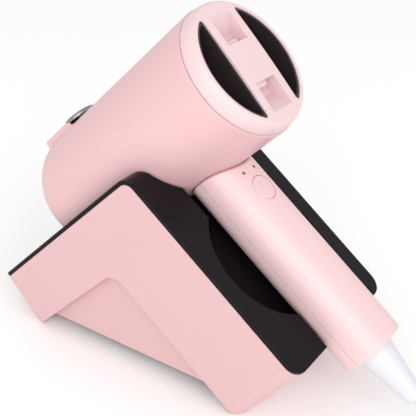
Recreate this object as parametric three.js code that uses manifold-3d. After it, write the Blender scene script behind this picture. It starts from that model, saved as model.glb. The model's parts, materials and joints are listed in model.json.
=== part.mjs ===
// Hair dryer lying in its own desk cradle. Millimetres, +Z up, origin at the bottom centre of the
// object's box (the lead and its coil left out of that box).
//
// Two tilted frames are used. The barrel frame has +X along the barrel towards the outlet, and its
// origin where the barrel's axis meets the handle's axis. The handle frame shares that origin, with
// +X out of the handle's front and -Z down the handle. The stand's rear arm follows the barrel, and
// its front leg follows the handle.
import * as THREE from 'three';
import { mergeVertices } from 'three/addons/utils/BufferGeometryUtils.js';
import Module from 'manifold-3d';

const wasm = await Module();
wasm.setup();

// ---------- driving dimensions ----------
const CLEAR = 0.3; // gap between pieces that touch
const RUN_CLEAR = 0.6; // gap round pieces that move
const ROUND = 36; // sides of the large round pieces
const SMALL_ROUND = 12; // sides of the small round pieces

// barrel
const BARREL_R = 40;
const BARREL_WALL = 2.2;
const SEAM_X = 56.5; // joint between the housing and the outlet ring
const DOME_X = -80; // where the rear dome starts
const DOME_DEPTH = 31;
const INLET_R = 26; // opening in the rear dome
const INLET_SLOTS = 12;
const HANDLE_TILT = THREE.MathUtils.degToRad(8); // handle leans forward of square to the barrel

// outlet ring
const FACE_X = 65.8;
const FACE_R = 35.9;
const OUTLET_R = 34.5;
const BAR_HALF = 15;
const BAR_BACK_X = 54.5;
const SPIGOT_LENGTH = 8;
const SOCKET_HALF = 9.3; // nozzle sockets in the bar
const SOCKET_IN = 12;
const SOCKET_OUT = 29.3;
const SOCKET_DEPTH = 8;
const TAB_WIDTH = 12;
const LINER_WALL = 1.3;

// raised pad and round button on top of the barrel
const PAD_REAR_X = -92.5;
const PAD_HALF = 12;
const PAD_HEIGHT = 3.4;
const MODE_X = -61.5;
const MODE_R = 11;
const MODE_TRAVEL = 1.2;

// handle
const HANDLE_HALF_X = 17.1;
const HANDLE_HALF_Y = 18.7;
const HANDLE_POWER = 2.6; // exponent of the superellipse section
const HANDLE_END = 167.7; // distance of its flat end below the barrel's axis
const HANDLE_WALL = 2.2;
const HANDLE_SEAM_X = -1.1;
const NECK_END = BARREL_R + 6;
const BUTTON_S = BARREL_R + 21.2; // distances below the barrel's axis
const BUTTON_R = 7.6;
const BUTTON_TRAVEL = 1.2;
const LIGHT_S = BARREL_R + 8.4;
const LIGHT_Y = 5.35;
const LIGHT_R = 1.0;
const BOOT_R = 11;
const BOOT_TIP_R = 5.5;
const BOOT_LENGTH = 35;

// stand
const STAND_HALF = 53.2;
const ARM_DROP = 11.1; // cradle face of the arm, below the barrel's axis
const ARM_END = 149.6; // arm's end, behind the handle's axis
const ARM_DEPTH = 38.7;
const LEG_SET = 7.2; // cradle face of the leg, behind the handle's axis
const LEG_END = 149.7;
const LEG_DEPTH = 58.5;
const SHELL_WALL = 2.5;
const PLATE = 2.2;
const APEX_R = 9;
const INNER_R = 10;
const FOOT_R = 4.5;
const CORNER_R = 9; // plan corners of both ends
const FOOT_FLAT = 0.25; // height cut off the rounded feet
const WEB_INSET = 7;
const WEB_THICK = 2.4;
const WEB_GROUND = 8; // web's free edge above the table
const TROUGH_GAP = 1.0; // cradle to barrel and handle
const TROUGH_WALL = 2;
const NECK_GROOVE = 24.3;
const FINGER_S = BARREL_R + 49;
const FINGER_R = 42.2;
const FINGER_FLOOR = -21.5;

// air path
const SHROUD_R = 31;
const FAN_R = 29.5;
const HUB_R = 9;
const BLADES = 7;
const BLADE_PITCH = 0.6; // radians off the shaft's line
const FAN_REAR_X = -82;
const FAN_FRONT_X = -65;
const MOTOR_R = 13;
const MOTOR_REAR_X = -58;
const MOTOR_FRONT_X = -30;
const SHAFT_R = 1.6;
const SLEEVE_R = 31;
const BOARD_HALF = 24.6;
const COIL_R = 26.4;
const WIRE_R = 0.7;
const COIL_TURNS = 6;
const HEATER_REAR_X = -22;
const HEATER_FRONT_X = 44;
const FUSE_R = 1.7;

// lead, coil and plug, in the table's frame
const CORD_R = 2.75;
const COIL_INNER = 22;
const COIL_OUTER = 44;
const COIL_HEIGHT = 11;
const COIL_CENTRE = [212, 41.25];
const COIL_FLOOR = 1.0; // the tie passes under the coil
const TIE_THICK = 0.6;
const TIE_WIDTH = 10;
const LEAD_POINTS = [
  [129.0, 0, 19.0], [135.5, 0, 14.3], [142.5, 0, 9.6], [150, 0, 5.9], [158, 0, 3.7],
  [168, 0, 2.95], [179, 0, 2.85], [189.5, 0, 2.85],
];
const TAIL_POINTS = [
  [170.75, 18.75, 9.25], [170.75, 12, 9.2], [170.75, 4, 8.8], [170.75, -2.75, 8.6], [170.8, -8, 8.0],
  [172.5, -16.4, 5.4], [177.2, -23.6, 3.3], [184.4, -28.3, 3.1], [192.8, -30, 4.8], [198, -30, 6.1],
  [204, -30, 6.5],
];
const PLUG = { x: 204, y: -30, z: 6.5, neck: 10, length: 26, width: 22, thick: 13 };
const BLADE = { spacing: 12.7, width: 6.3, thick: 1.5, length: 16 };

// ---------- colours ----------
const PINK = [0xf1c4c6, 0.5, 0];
const LIGHT_PINK = [0xf8dcdd, 0.5, 0];
const HANDLE_PINK = [0xf6d4d6, 0.5, 0];
const BLACK = [0x1b171b, 0.35, 0];
const LINER = [0x120f12, 0.4, 0];
const GUNMETAL = [0x4a4648, 0.25, 1];
const WHITE = [0xeeeef1, 0.5, 0];
const STEEL = [0xb9babd, 0.3, 1];
const MICA = [0xa88a62, 0.7, 0];
const GREEN = [0x1f5b3a, 0.5, 0];
const COPPER = [0x9a7350, 0.4, 1];

// ---------- solids ----------
const V2 = (x, y) => new THREE.Vector2(x, y);
const V3 = (x, y, z) => new THREE.Vector3(x, y, z);

/** Manifold solid of a closed geometry, turned outwards when its volume comes out negative. */
function solid(geometry) {
  geometry.deleteAttribute('normal');
  geometry.deleteAttribute('uv');
  const merged = mergeVertices(geometry, 1e-4);
  const vertProperties = new Float32Array(merged.attributes.position.array);
  const kept = [];
  const index = merged.index.array;
  for (let i = 0; i < index.length; i += 3) {
    const [a, b, c] = [index[i], index[i + 1], index[i + 2]];
    if (a !== b && b !== c && a !== c) kept.push(a, b, c);
  }
  let volume = 0;
  const corner = (i) => V3().fromArray(vertProperties, 3 * i);
  for (let i = 0; i < kept.length; i += 3) {
    volume += corner(kept[i]).dot(corner(kept[i + 1]).cross(corner(kept[i + 2])));
  }
  if (volume < 0) kept.reverse();
  return new wasm.Manifold(new wasm.Mesh({ numProp: 3, vertProperties, triVerts: new Uint32Array(kept) }));
}

function toGeometry(manifold) {
  const mesh = manifold.getMesh();
  const geometry = new THREE.BufferGeometry();
  geometry.setAttribute('position', new THREE.BufferAttribute(mesh.vertProperties.slice(), 3));
  geometry.setIndex(new THREE.BufferAttribute(mesh.triVerts.slice(), 1));
  geometry.computeVertexNormals();
  return geometry;
}

/** Copy of a manifold moved by a three.js matrix. */
const moved = (manifold, matrix) => solid(toGeometry(manifold).applyMatrix4(matrix));
const union = (...parts) => parts.reduce((all, part) => all.add(part));
const cut = (body, ...tools) => tools.reduce((rest, tool) => rest.subtract(tool), body);

/** Solid of revolution about X from [x, radius] points that start and end on the axis or close. */
function turned(profile, sides = ROUND) {
  const points = profile.map(([x, r]) => V2(r, x));
  return solid(new THREE.LatheGeometry(points, sides).rotateZ(-Math.PI / 2));
}

const rod = (x0, x1, r, sides = SMALL_ROUND) => turned([[x0, 0], [x0, r], [x1, r], [x1, 0]], sides);
const tube = (x0, x1, outer, inner, sides = ROUND) =>
  turned([[x0, inner], [x0, outer], [x1, outer], [x1, inner], [x0, inner]], sides);

const BASIS = {
  x: new THREE.Matrix4().makeBasis(V3(0, 1, 0), V3(0, 0, 1), V3(1, 0, 0)),
  y: new THREE.Matrix4().makeBasis(V3(1, 0, 0), V3(0, 0, 1), V3(0, -1, 0)),
  z: new THREE.Matrix4(),
};

/** Outline extruded along an axis from one station to another. */
function prism(axis, points, from, to) {
  const shape = new THREE.Shape(points.map(([u, v]) => V2(u, v)));
  const geometry = new THREE.ExtrudeGeometry(shape, { depth: to - from, bevelEnabled: false });
  geometry.translate(0, 0, axis === 'y' ? -to : from);
  return solid(geometry.applyMatrix4(BASIS[axis]));
}

function box(x0, x1, y0, y1, z0, z1) {
  const geometry = new THREE.BoxGeometry(x1 - x0, y1 - y0, z1 - z0);
  return solid(geometry.translate((x0 + x1) / 2, (y0 + y1) / 2, (z0 + z1) / 2));
}

/** Round bar along Z or Y instead of X. */
const onEnd = (x = 0, y = 0) =>
  new THREE.Matrix4().makeBasis(V3(0, 0, 1), V3(0, 1, 0), V3(-1, 0, 0)).setPosition(x, y, 0);
const upright = (z0, z1, r, x = 0, y = 0, sides = SMALL_ROUND) => moved(rod(z0, z1, r, sides), onEnd(x, y));
const lengthways = (x0, x1, r, y, z, sides = SMALL_ROUND) =>
  moved(rod(x0, x1, r, sides), new THREE.Matrix4().makeTranslation(0, y, z));

/** Polygon with each corner replaced by an arc; corners are [x, y, radius]. */
function rounded(corners, steps = 4) {
  const points = [];
  corners.forEach(([x, y, r], i) => {
    const here = V2(x, y);
    const before = V2(...corners.at(i - 1)).sub(here).normalize();
    const after = V2(...corners[(i + 1) % corners.length]).sub(here).normalize();
    if (r <= 0) return points.push([x, y]);
    const half = Math.acos(THREE.MathUtils.clamp(before.dot(after), -1, 1)) / 2;
    const centre = before.clone().add(after).normalize().multiplyScalar(r / Math.sin(half)).add(here);
    const start = here.clone().addScaledVector(before, r / Math.tan(half)).sub(centre);
    const end = here.clone().addScaledVector(after, r / Math.tan(half)).sub(centre);
    const sweep = Math.atan2(start.cross(end), start.dot(end));
    for (let k = 0; k <= steps; k++) {
      const p = start.clone().rotateAround(V2(0, 0), (sweep * k) / steps).add(centre);
      points.push([p.x, p.y]);
    }
  });
  return points;
}

/** Superellipse section in x, y with the given half widths. */
function superellipse(halfX, halfY, sides = 32) {
  const axis = (value) => Math.sign(value) * Math.abs(value) ** (2 / HANDLE_POWER);
  return Array.from({ length: sides }, (_, i) => {
    const angle = (2 * Math.PI * (i + 0.5)) / sides;
    return [halfX * axis(Math.cos(angle)), halfY * axis(Math.sin(angle))];
  });
}

const HANDLE_TO_BARREL = new THREE.Matrix4().makeRotationY(-HANDLE_TILT);
const inBarrel = (manifold) => moved(manifold, HANDLE_TO_BARREL);
const inHandle = (manifold) => moved(manifold, HANDLE_TO_BARREL.clone().invert());
/** A handle-frame point given by its distance in front and its distance down, in the barrel frame. */
function handlePoint(front, down) {
  const p = V3(front, 0, -down).applyMatrix4(HANDLE_TO_BARREL);
  return [p.x, p.z];
}

// ---------- scene graph ----------
const assembly = new THREE.Group();
const barrelFrame = new THREE.Group();
const handleFrame = new THREE.Group();
handleFrame.rotation.y = -HANDLE_TILT;
barrelFrame.add(handleFrame);
assembly.add(barrelFrame);

function piece(name, shape, [color, roughness, metalness], parent = barrelFrame) {
  const material = new THREE.MeshStandardMaterial({ color, roughness, metalness });
  const mesh = new THREE.Mesh(toGeometry(shape), material);
  mesh.name = name;
  parent.add(mesh);
  return mesh;
}

// ---------- barrel ----------
/** Radius of the dome, grown by an offset, at a station behind its start. */
function domeProfile(offset, rimRadius, steps = 9) {
  const depth = DOME_DEPTH + offset;
  const radius = BARREL_R + offset;
  const last = Math.acos(rimRadius / radius);
  return Array.from({ length: steps + 1 }, (_, i) => {
    const angle = (last * i) / steps;
    return [DOME_X - depth * Math.sin(angle), radius * Math.cos(angle)];
  });
}

function barrelHousing() {
  const outer = domeProfile(0, INLET_R + CLEAR);
  const inner = domeProfile(-BARREL_WALL, INLET_R + CLEAR).reverse();
  const inside = BARREL_R - BARREL_WALL;
  const body = turned([[SEAM_X, inside], [SEAM_X, BARREL_R], ...outer, ...inner, [SEAM_X, inside]]);
  // the pad and the neck stop halfway through the wall
  const halfWall = -BARREL_WALL / 2;
  const bore = union(
    rod(DOME_X - 1, SEAM_X, BARREL_R + halfWall, ROUND),
    turned([[DOME_X, 0], ...domeProfile(halfWall, 0, 6)]),
  );
  // raised pad behind the mode button
  const pad = prism('z', rounded([
    [MODE_X, -PAD_HALF, 0], [MODE_X, PAD_HALF, 0], [PAD_REAR_X, PAD_HALF, 5], [PAD_REAR_X, -PAD_HALF, 5],
  ]), BARREL_R - 8, BARREL_R + PAD_HEIGHT);
  const crown = rod(PAD_REAR_X - 1, MODE_X + 1, BARREL_R + PAD_HEIGHT, ROUND);
  // neck that the handle's shells close on
  const neckSection = (inset) => superellipse(HANDLE_HALF_X - inset - CLEAR, HANDLE_HALF_Y - inset - CLEAR);
  const neckSkin = prism('z', neckSection(HANDLE_WALL), -NECK_END, -30);
  const neckBore = prism('z', neckSection(2 * HANDLE_WALL), -NECK_END - 1, -20);
  const extras = union(pad.intersect(crown), inBarrel(neckSkin)).subtract(bore);
  // pocket and stem hole of the mode button
  const pocket = upright(BARREL_R - 0.9, BARREL_R + 9, MODE_R + RUN_CLEAR / 2, MODE_X, 0, 32);
  const stemHole = upright(BARREL_R - 9, BARREL_R + 9, 3, MODE_X, 0);
  return cut(body.add(extras), inBarrel(neckBore), pocket, stemHole);
}

/** D-shaped outlet half, as an outline in y, z on the side given by its sign. */
function outletHalf(side, radius, chord, steps = 16) {
  const reach = Math.acos(chord / radius);
  return Array.from({ length: steps + 1 }, (_, i) => {
    const angle = -reach + (2 * reach * i) / steps;
    return [side * radius * Math.cos(angle), side * radius * Math.sin(angle)];
  });
}

function outletRing() {
  const steps = 15;
  const shoulder = Array.from({ length: steps + 1 }, (_, i) => {
    const angle = (Math.PI / 2) * (i / steps);
    const x = FACE_X - (FACE_X - SEAM_X - CLEAR) * (1 - Math.sin(angle));
    return [x, FACE_R + (BARREL_R - 0.7 - FACE_R) * Math.cos(angle)];
  });
  const spigotOuter = BARREL_R - BARREL_WALL - CLEAR;
  const spigotInner = OUTLET_R + 0.4;
  const spigotX = SEAM_X - SPIGOT_LENGTH;
  let ring = turned([
    [BAR_BACK_X, 0], [BAR_BACK_X, spigotInner], [spigotX, spigotInner], [spigotX, spigotOuter],
    [SEAM_X + CLEAR, spigotOuter], ...shoulder, [FACE_X + 0.7, FACE_R / 2], [FACE_X + 1, 0],
  ]);
  for (const side of [-1, 1]) {
    ring = ring.subtract(prism('x', outletHalf(side, OUTLET_R, BAR_HALF), spigotX - 1, FACE_X + 5));
    // socket: deep at its inner end, with a sloping floor out to the rim
    const socket = prism('y', [
      [FACE_X + 3, side * SOCKET_IN], [FACE_X - SOCKET_DEPTH, side * SOCKET_IN],
      [FACE_X - SOCKET_DEPTH, side * (SOCKET_IN + 7)], [FACE_X, side * SOCKET_OUT],
      [FACE_X + 3, side * SOCKET_OUT],
    ], -SOCKET_HALF, SOCKET_HALF);
    const tab = box(FACE_X - SOCKET_DEPTH - 1, FACE_X - 1.5, -SOCKET_HALF, -SOCKET_HALF + TAB_WIDTH,
      side > 0 ? SOCKET_IN - 1 : -SOCKET_IN - 2.6, side > 0 ? SOCKET_IN + 2.6 : -SOCKET_IN + 1);
    ring = ring.subtract(socket).add(tab);
  }
  return ring;
}

function outletLiner() {
  const outer = OUTLET_R - CLEAR;
  const room = BAR_HALF + CLEAR;
  const rear = HEATER_FRONT_X + 1.5;
  let liner = rod(rear, FACE_X - 0.6, outer, ROUND);
  for (const side of [-1, 1]) {
    const half = outletHalf(side, outer - LINER_WALL, room + LINER_WALL);
    liner = liner.subtract(prism('x', half, rear - 1, FACE_X + 1));
  }
  const barRoom = box(BAR_BACK_X - CLEAR, FACE_X + 1, -room, room, -outer - 1, outer + 1);
  const throat = rod(rear - 1, BAR_BACK_X - CLEAR - LINER_WALL, outer - LINER_WALL, ROUND);
  return cut(liner, barRoom, throat);
}

function inletGrille() {
  const skin = 1.6;
  const top = domeProfile(0, INLET_R, 1).at(-1)[0];
  const dome = (offset) => {
    const depth = DOME_DEPTH + offset;
    const radius = BARREL_R + offset;
    const first = Math.acos((INLET_R + (offset ? -skin : 0)) / radius);
    return Array.from({ length: 5 }, (_, i) => {
      const angle = first + ((Math.PI / 2 - first) * i) / 4;
      return [DOME_X - depth * Math.sin(angle), Math.max(radius * Math.cos(angle), 0)];
    });
  };
  const rimX = top + 7;
  const rim = [rimX, INLET_R - skin];
  let cap = turned([rim, [rimX, INLET_R], ...dome(0), ...dome(-skin).reverse(), rim], 32);
  for (let i = 0; i < INLET_SLOTS; i++) {
    const turn = new THREE.Matrix4().makeRotationX((2 * Math.PI * i) / INLET_SLOTS);
    const slot = moved(box(-130, DOME_X, -0.9, 0.9, 7, 21), turn);
    cap = cap.subtract(slot);
  }
  return cap;
}

const filterX = DOME_X - 12;
const inletFilter = () => tube(filterX - 1.2, filterX, INLET_R - 3, 3, 40);

piece('barrel_housing', barrelHousing(), PINK);
piece('outlet_ring', outletRing(), LIGHT_PINK);
piece('outlet_liner', outletLiner(), LINER);
piece('inlet_grille', inletGrille(), PINK);
piece('inlet_filter', inletFilter(), STEEL);

// ---------- mode button on top, and the switch under it ----------
const stemBottom = BARREL_R - BARREL_WALL - 1.6;
const modeSwitchTop = stemBottom - MODE_TRAVEL - CLEAR;
function modeButton() {
  const base = BARREL_R - 0.9 + MODE_TRAVEL + CLEAR;
  const top = BARREL_R + PAD_HEIGHT - 0.3;
  const crown = [
    [base, 0], [base, MODE_R], [top - 1.2, MODE_R], [top - 0.4, MODE_R - 0.9],
    [top, MODE_R * 0.5], [top + 0.1, 0],
  ];
  const cap = turned(crown, 32);
  const body = cap.add(rod(stemBottom, base + 0.5, 2.4));
  return moved(body, onEnd(MODE_X));
}
piece('mode_button', modeButton(), GUNMETAL);
piece('mode_switch', box(MODE_X - 4, MODE_X + 4, -4, 4, modeSwitchTop - 1.6, modeSwitchTop), LINER);

// ---------- fan and motor ----------
const shaftBore = SHAFT_R + CLEAR;
function impeller() {
  const hub = turned([
    [FAN_REAR_X, shaftBore], [FAN_REAR_X, 5], [FAN_REAR_X + 6, HUB_R], [FAN_FRONT_X, HUB_R],
    [FAN_FRONT_X, shaftBore], [FAN_REAR_X, shaftBore],
  ], 28);
  const blade = box(FAN_REAR_X + 7, FAN_FRONT_X - 1, -0.7, 0.7, HUB_R - 1.5, FAN_R);
  const middle = (FAN_REAR_X + FAN_FRONT_X) / 2;
  const pitch = new THREE.Matrix4().makeTranslation(middle, 0, 0)
    .multiply(new THREE.Matrix4().makeRotationZ(BLADE_PITCH))
    .multiply(new THREE.Matrix4().makeTranslation(-middle, 0, 0));
  let wheel = hub;
  for (let i = 0; i < BLADES; i++) {
    const spin = new THREE.Matrix4().makeRotationX((2 * Math.PI * i) / BLADES);
    wheel = wheel.add(moved(blade, spin.multiply(pitch)));
  }
  return wheel.intersect(tube(FAN_REAR_X - 1, FAN_FRONT_X, FAN_R, shaftBore));
}

function fanShroud() {
  const outer = SHROUD_R + 1.8;
  const flange = BARREL_R - BARREL_WALL - CLEAR;
  return turned([
    [-87, SHROUD_R], [-87, outer], [-80, outer], [-80, flange], [-77, flange],
    [-77, outer], [-24, outer], [-24, SHROUD_R], [-87, SHROUD_R],
  ]);
}

function stator() {
  const seat = MOTOR_R + CLEAR;
  let frame = tube(MOTOR_REAR_X + 6, MOTOR_FRONT_X - 4, seat + 1.6, seat, 32);
  for (let i = 0; i < 6; i++) {
    const vane = box(MOTOR_REAR_X + 7, MOTOR_FRONT_X - 5, -0.7, 0.7, seat + 0.8, SHROUD_R - CLEAR);
    frame = frame.add(moved(vane, new THREE.Matrix4().makeRotationX((i * Math.PI) / 3)));
  }
  return frame.intersect(rod(MOTOR_REAR_X, MOTOR_FRONT_X, SHROUD_R - CLEAR, ROUND));
}

const motorCan = () => turned([
  [MOTOR_REAR_X, shaftBore], [MOTOR_REAR_X, MOTOR_R - 1], [MOTOR_REAR_X + 1, MOTOR_R],
  [MOTOR_FRONT_X - 1, MOTOR_R], [MOTOR_FRONT_X, MOTOR_R - 1], [MOTOR_FRONT_X, 0],
  [MOTOR_REAR_X + 14, 0], [MOTOR_REAR_X + 14, shaftBore], [MOTOR_REAR_X, shaftBore],
], 32);

piece('fan_shroud', fanShroud(), LINER);
piece('impeller', impeller(), WHITE);
piece('motor_shaft', rod(FAN_REAR_X - 1, MOTOR_REAR_X + 14 - CLEAR, SHAFT_R), STEEL);
piece('motor_can', motorCan(), STEEL);
piece('stator_vanes', stator(), WHITE);

// ---------- heater ----------
/** Notched board whose end tabs reach out to the sleeve, as an outline in x and the cross direction. */
function boardOutline() {
  const reach = SLEEVE_R - CLEAR;
  const [rear, front] = [HEATER_REAR_X, HEATER_FRONT_X];
  const upper = [
    [rear, reach], [rear + 5, reach], [rear + 5, BOARD_HALF],
    [front - 5, BOARD_HALF], [front - 5, reach], [front, reach],
  ];
  return [...upper, ...upper.map(([x, z]) => [x, -z]).reverse()].reverse();
}
const BOARD = 1;
const boardMiddle = (HEATER_REAR_X + HEATER_FRONT_X) / 2;
const slotHalf = BOARD / 2 + CLEAR;
function heaterBoard(lying) {
  const outline = boardOutline();
  const board = prism(lying ? 'z' : 'y', outline, -BOARD / 2, BOARD / 2);
  const slot = lying
    ? box(HEATER_REAR_X - 1, boardMiddle + CLEAR, -slotHalf, slotHalf, -1, 1)
    : box(boardMiddle - CLEAR, HEATER_FRONT_X + 1, -1, 1, -slotHalf, slotHalf);
  return board.subtract(slot);
}

class HelixCurve extends THREE.Curve {
  getPoint(t) {
    const angle = 2 * Math.PI * COIL_TURNS * t + Math.PI / 4;
    const x = HEATER_REAR_X + 8 + t * (HEATER_FRONT_X - HEATER_REAR_X - 16);
    return V3(x, COIL_R * Math.cos(angle), COIL_R * Math.sin(angle));
  }
}
function ringSection(radius, sides) {
  return new THREE.Shape(Array.from({ length: sides }, (_, i) => {
    const angle = (2 * Math.PI * i) / sides;
    return V2(radius * Math.cos(angle), radius * Math.sin(angle));
  }));
}
const heaterCoil = () => solid(new THREE.ExtrudeGeometry(ringSection(WIRE_R, 4), {
  steps: COIL_TURNS * 12, extrudePath: new HelixCurve(), bevelEnabled: false,
}));

piece('heater_board_upright', heaterBoard(false), MICA);
piece('heater_board_lying', heaterBoard(true), MICA);
piece('heater_coil', heaterCoil(), COPPER);
piece('heater_sleeve', tube(HEATER_REAR_X - 1, HEATER_FRONT_X + 1, SLEEVE_R + 0.6, SLEEVE_R), MICA);
piece('thermostat', box(boardMiddle - 6, boardMiddle + 6, BOARD / 2 + CLEAR, 5, 6, 15), STEEL);
const fuseY = -BOARD / 2 - CLEAR - FUSE_R;
piece('thermal_fuse', lengthways(boardMiddle - 8, boardMiddle + 8, FUSE_R, fuseY, 10), STEEL);
piece('ion_emitter', box(BAR_BACK_X - CLEAR - 1.3 - 5, BAR_BACK_X - CLEAR - 1.3 - 0.4, -6, 6, -3, 3)
  .add(lengthways(HEATER_FRONT_X + 1, BAR_BACK_X - 5, 0.6, 0, 0, 8)), LINER);

// ---------- handle ----------
const innerX = HANDLE_HALF_X - HANDLE_WALL;
const innerY = HANDLE_HALF_Y - HANDLE_WALL;
const bossR = 3.2;
const screwStations = [NECK_END + 5, 152];
const endWall = 2.5;
const bootNeck = 8;

/** Hollow handle with its top cut to the barrel, before it is parted into its two shells. */
function handleBody() {
  const topCut = inHandle(rod(-60, 60, BARREL_R + CLEAR + 0.3, ROUND));
  let body = prism('z', superellipse(HANDLE_HALF_X, HANDLE_HALF_Y), -HANDLE_END, -30);
  body = cut(body, topCut, prism('z', superellipse(innerX, innerY), -HANDLE_END + endWall, -20));
  return body.subtract(upright(-HANDLE_END - 1, -HANDLE_END + endWall + 1, bootNeck + CLEAR, 0, 0, 24));
}

const screwBoss = (s) => rodX(-HANDLE_HALF_X + HANDLE_WALL + 1.5 + CLEAR, innerX + 1, bossR, 0, -s);
function rodX(x0, x1, r, y, z, sides = SMALL_ROUND) {
  return lengthways(x0, x1, r, y, z, sides);
}

function frontShell() {
  const front = box(HANDLE_SEAM_X + CLEAR / 2, 30, -30, 30, -HANDLE_END - 1, 0);
  let shell = handleBody().intersect(front);
  for (const s of screwStations) {
    shell = shell.add(screwBoss(s)).subtract(rodX(-30, 6, 1.3 + CLEAR, 0, -s));
  }
  const skin = prism('z', superellipse(HANDLE_HALF_X, HANDLE_HALF_Y), -HANDLE_END, -20);
  shell = shell.intersect(skin).subtract(rodX(5, 30, BUTTON_R + CLEAR, 0, -BUTTON_S, 32));
  for (const side of [-1, 1]) {
    shell = shell.subtract(rodX(5, 30, LIGHT_R + CLEAR, side * LIGHT_Y, -LIGHT_S, 12));
  }
  return shell;
}

const screwSeat = -HANDLE_HALF_X + HANDLE_WALL; // inner face of the rear shell
function rearShell() {
  const rear = box(-30, HANDLE_SEAM_X - CLEAR / 2, -30, 30, -HANDLE_END - 1, 0);
  let shell = handleBody().intersect(rear);
  for (const s of screwStations) {
    const pad = rodX(screwSeat - 1, screwSeat + 1.5, bossR, 0, -s);
    shell = shell.add(pad).subtract(rodX(-30, 0, 1.3 + CLEAR, 0, -s));
    shell = shell.subtract(rodX(-30, screwSeat - 0.1, 2.7 + CLEAR, 0, -s));
  }
  return shell;
}

const handleScrew = (s) => rodX(screwSeat - 2, screwSeat - 0.1 - CLEAR / 2, 2.7, 0, -s)
  .add(rodX(screwSeat - 1, 4, 1.3, 0, -s, 10));

const boardX = 6;
const switchTop = boardX + 1.6 + CLEAR + 3.4;
const stemEnd = switchTop + BUTTON_TRAVEL + CLEAR;
const powerButton = () => {
  const disc = turned([[13.9, 0], [13.9, BUTTON_R], [16.5, BUTTON_R], [17, BUTTON_R - 0.5], [16.9, 0]], 32);
  const placed = moved(disc, new THREE.Matrix4().makeTranslation(0, 0, -BUTTON_S));
  return placed.add(rodX(stemEnd, 14.5, 2, 0, -BUTTON_S));
};

piece('handle_front_shell', frontShell(), HANDLE_PINK, handleFrame);
piece('handle_rear_shell', rearShell(), HANDLE_PINK, handleFrame);
screwStations.forEach((s, i) => piece(`handle_screw_${i + 1}`, handleScrew(s), STEEL, handleFrame));
piece('power_button', powerButton(), HANDLE_PINK, handleFrame);
piece('power_switch', rodX(boardX + 1.6 + CLEAR, switchTop, 3.2, 0, -BUTTON_S, 12), LINER, handleFrame);
for (const [name, side] of [['indicator_light_left', -1], ['indicator_light_right', 1]]) {
  const pin = rodX(innerX - 3, HANDLE_HALF_X - 0.2, LIGHT_R, side * LIGHT_Y, -LIGHT_S);
  piece(name, pin, LINER, handleFrame);
}
piece('control_board', box(boardX, boardX + 1.6, -10, 10, -122, -BUTTON_S + 7), GREEN, handleFrame);
piece('suppression_capacitor', box(boardX - 9, boardX - CLEAR, -7, 7, -88, -76), LINER, handleFrame);
piece('power_regulator', box(boardX - 5, boardX - CLEAR, -6, 6, -104, -94), STEEL, handleFrame);
piece('ion_generator', box(-9, 4, -9, 9, -143, -126), LINER, handleFrame);

// ---------- strain relief ----------
function strainRelief() {
  const inside = -HANDLE_END + endWall + CLEAR;
  const outside = -HANDLE_END - CLEAR;
  const tip = outside - BOOT_LENGTH;
  const profile = [
    [inside + 2.5, 0], [inside + 2.5, 10.5], [inside, 10.5], [inside, bootNeck], [outside, bootNeck],
    [outside, BOOT_R], [outside - 2, BOOT_R], [(outside + tip) / 2, (BOOT_R + BOOT_TIP_R) / 2 + 0.4],
    [tip + 1, BOOT_TIP_R], [tip, BOOT_TIP_R - 1], [tip, 0],
  ];
  return solid(new THREE.LatheGeometry(profile.map(([z, r]) => V2(r, z)), 28).rotateX(Math.PI / 2));
}
piece('strain_relief', strainRelief(), WHITE, handleFrame);

// ---------- stand ----------
/** Side outline of the stand, pulled in from each face by its own amount. */
function chevron({ top = 0, under = 0, ends = 0 }) {
  const armTop = -ARM_DROP - top;
  const legTop = -LEG_SET - top;
  const armUnder = -ARM_DROP - ARM_DEPTH + under;
  const legUnder = -LEG_SET - LEG_DEPTH + under;
  const tan = Math.tan(HANDLE_TILT);
  const cos = Math.cos(HANDLE_TILT);
  const meet = (front, z) => [front / cos - z * tan, z]; // where a leg face crosses a level
  const shrink = (r, by) => Math.max(r - by, 0.6);
  return rounded([
    [-ARM_END + ends, armTop, 0],
    [-ARM_END + ends, armUnder, shrink(FOOT_R, under)],
    [...meet(legUnder, armUnder), INNER_R + under],
    [...handlePoint(legUnder, LEG_END - ends), shrink(FOOT_R, under)],
    [...handlePoint(legTop, LEG_END - ends), 0],
    [...meet(legTop, armTop), shrink(APEX_R, top)],
  ]);
}

/** Prism with the plan corners of both ends rounded, narrower all round by an inset. */
function standBlock(outline, inset) {
  const half = STAND_HALF - inset;
  const radius = Math.max(CORNER_R - inset, 1);
  const armPlan = prism('z', rounded([
    [90, half, 0], [-ARM_END + inset, half, radius], [-ARM_END + inset, -half, radius], [90, -half, 0],
  ]), -260, 60);
  const legPlan = inBarrel(prism('x', rounded([
    [half, 90, 0], [half, -LEG_END + inset, radius], [-half, -LEG_END + inset, radius], [-half, 90, 0],
  ]), -260, 90));
  return prism('y', outline, -half, half).intersect(armPlan).intersect(legPlan);
}

/** Room taken by the dryer in its cradle, grown by an offset. */
function trough(grow) {
  const radius = BARREL_R + TROUGH_GAP + grow;
  const barrel = union(
    rod(DOME_X, SEAM_X + 40, radius, ROUND),
    turned([[DOME_X, 0], ...domeProfile(TROUGH_GAP + grow, 0, 6)]),
  );
  const floor = -HANDLE_HALF_X - TROUGH_GAP - grow;
  const corner = 8 + grow;
  const channel = (half, end) => prism('z', rounded([
    [40, -half, 0], [40, half, 0], [floor, half, corner], [floor, -half, corner],
  ]), -end, 0);
  const groove = channel(HANDLE_HALF_Y + TROUGH_GAP + grow, LEG_END + 5);
  const neck = channel(NECK_GROOVE + grow, FINGER_S - 10);
  const finger = rodX(FINGER_FLOOR - grow, 40, FINGER_R + grow, 0, -FINGER_S, ROUND);
  return union(barrel, inBarrel(union(groove, neck, finger)));
}

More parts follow.
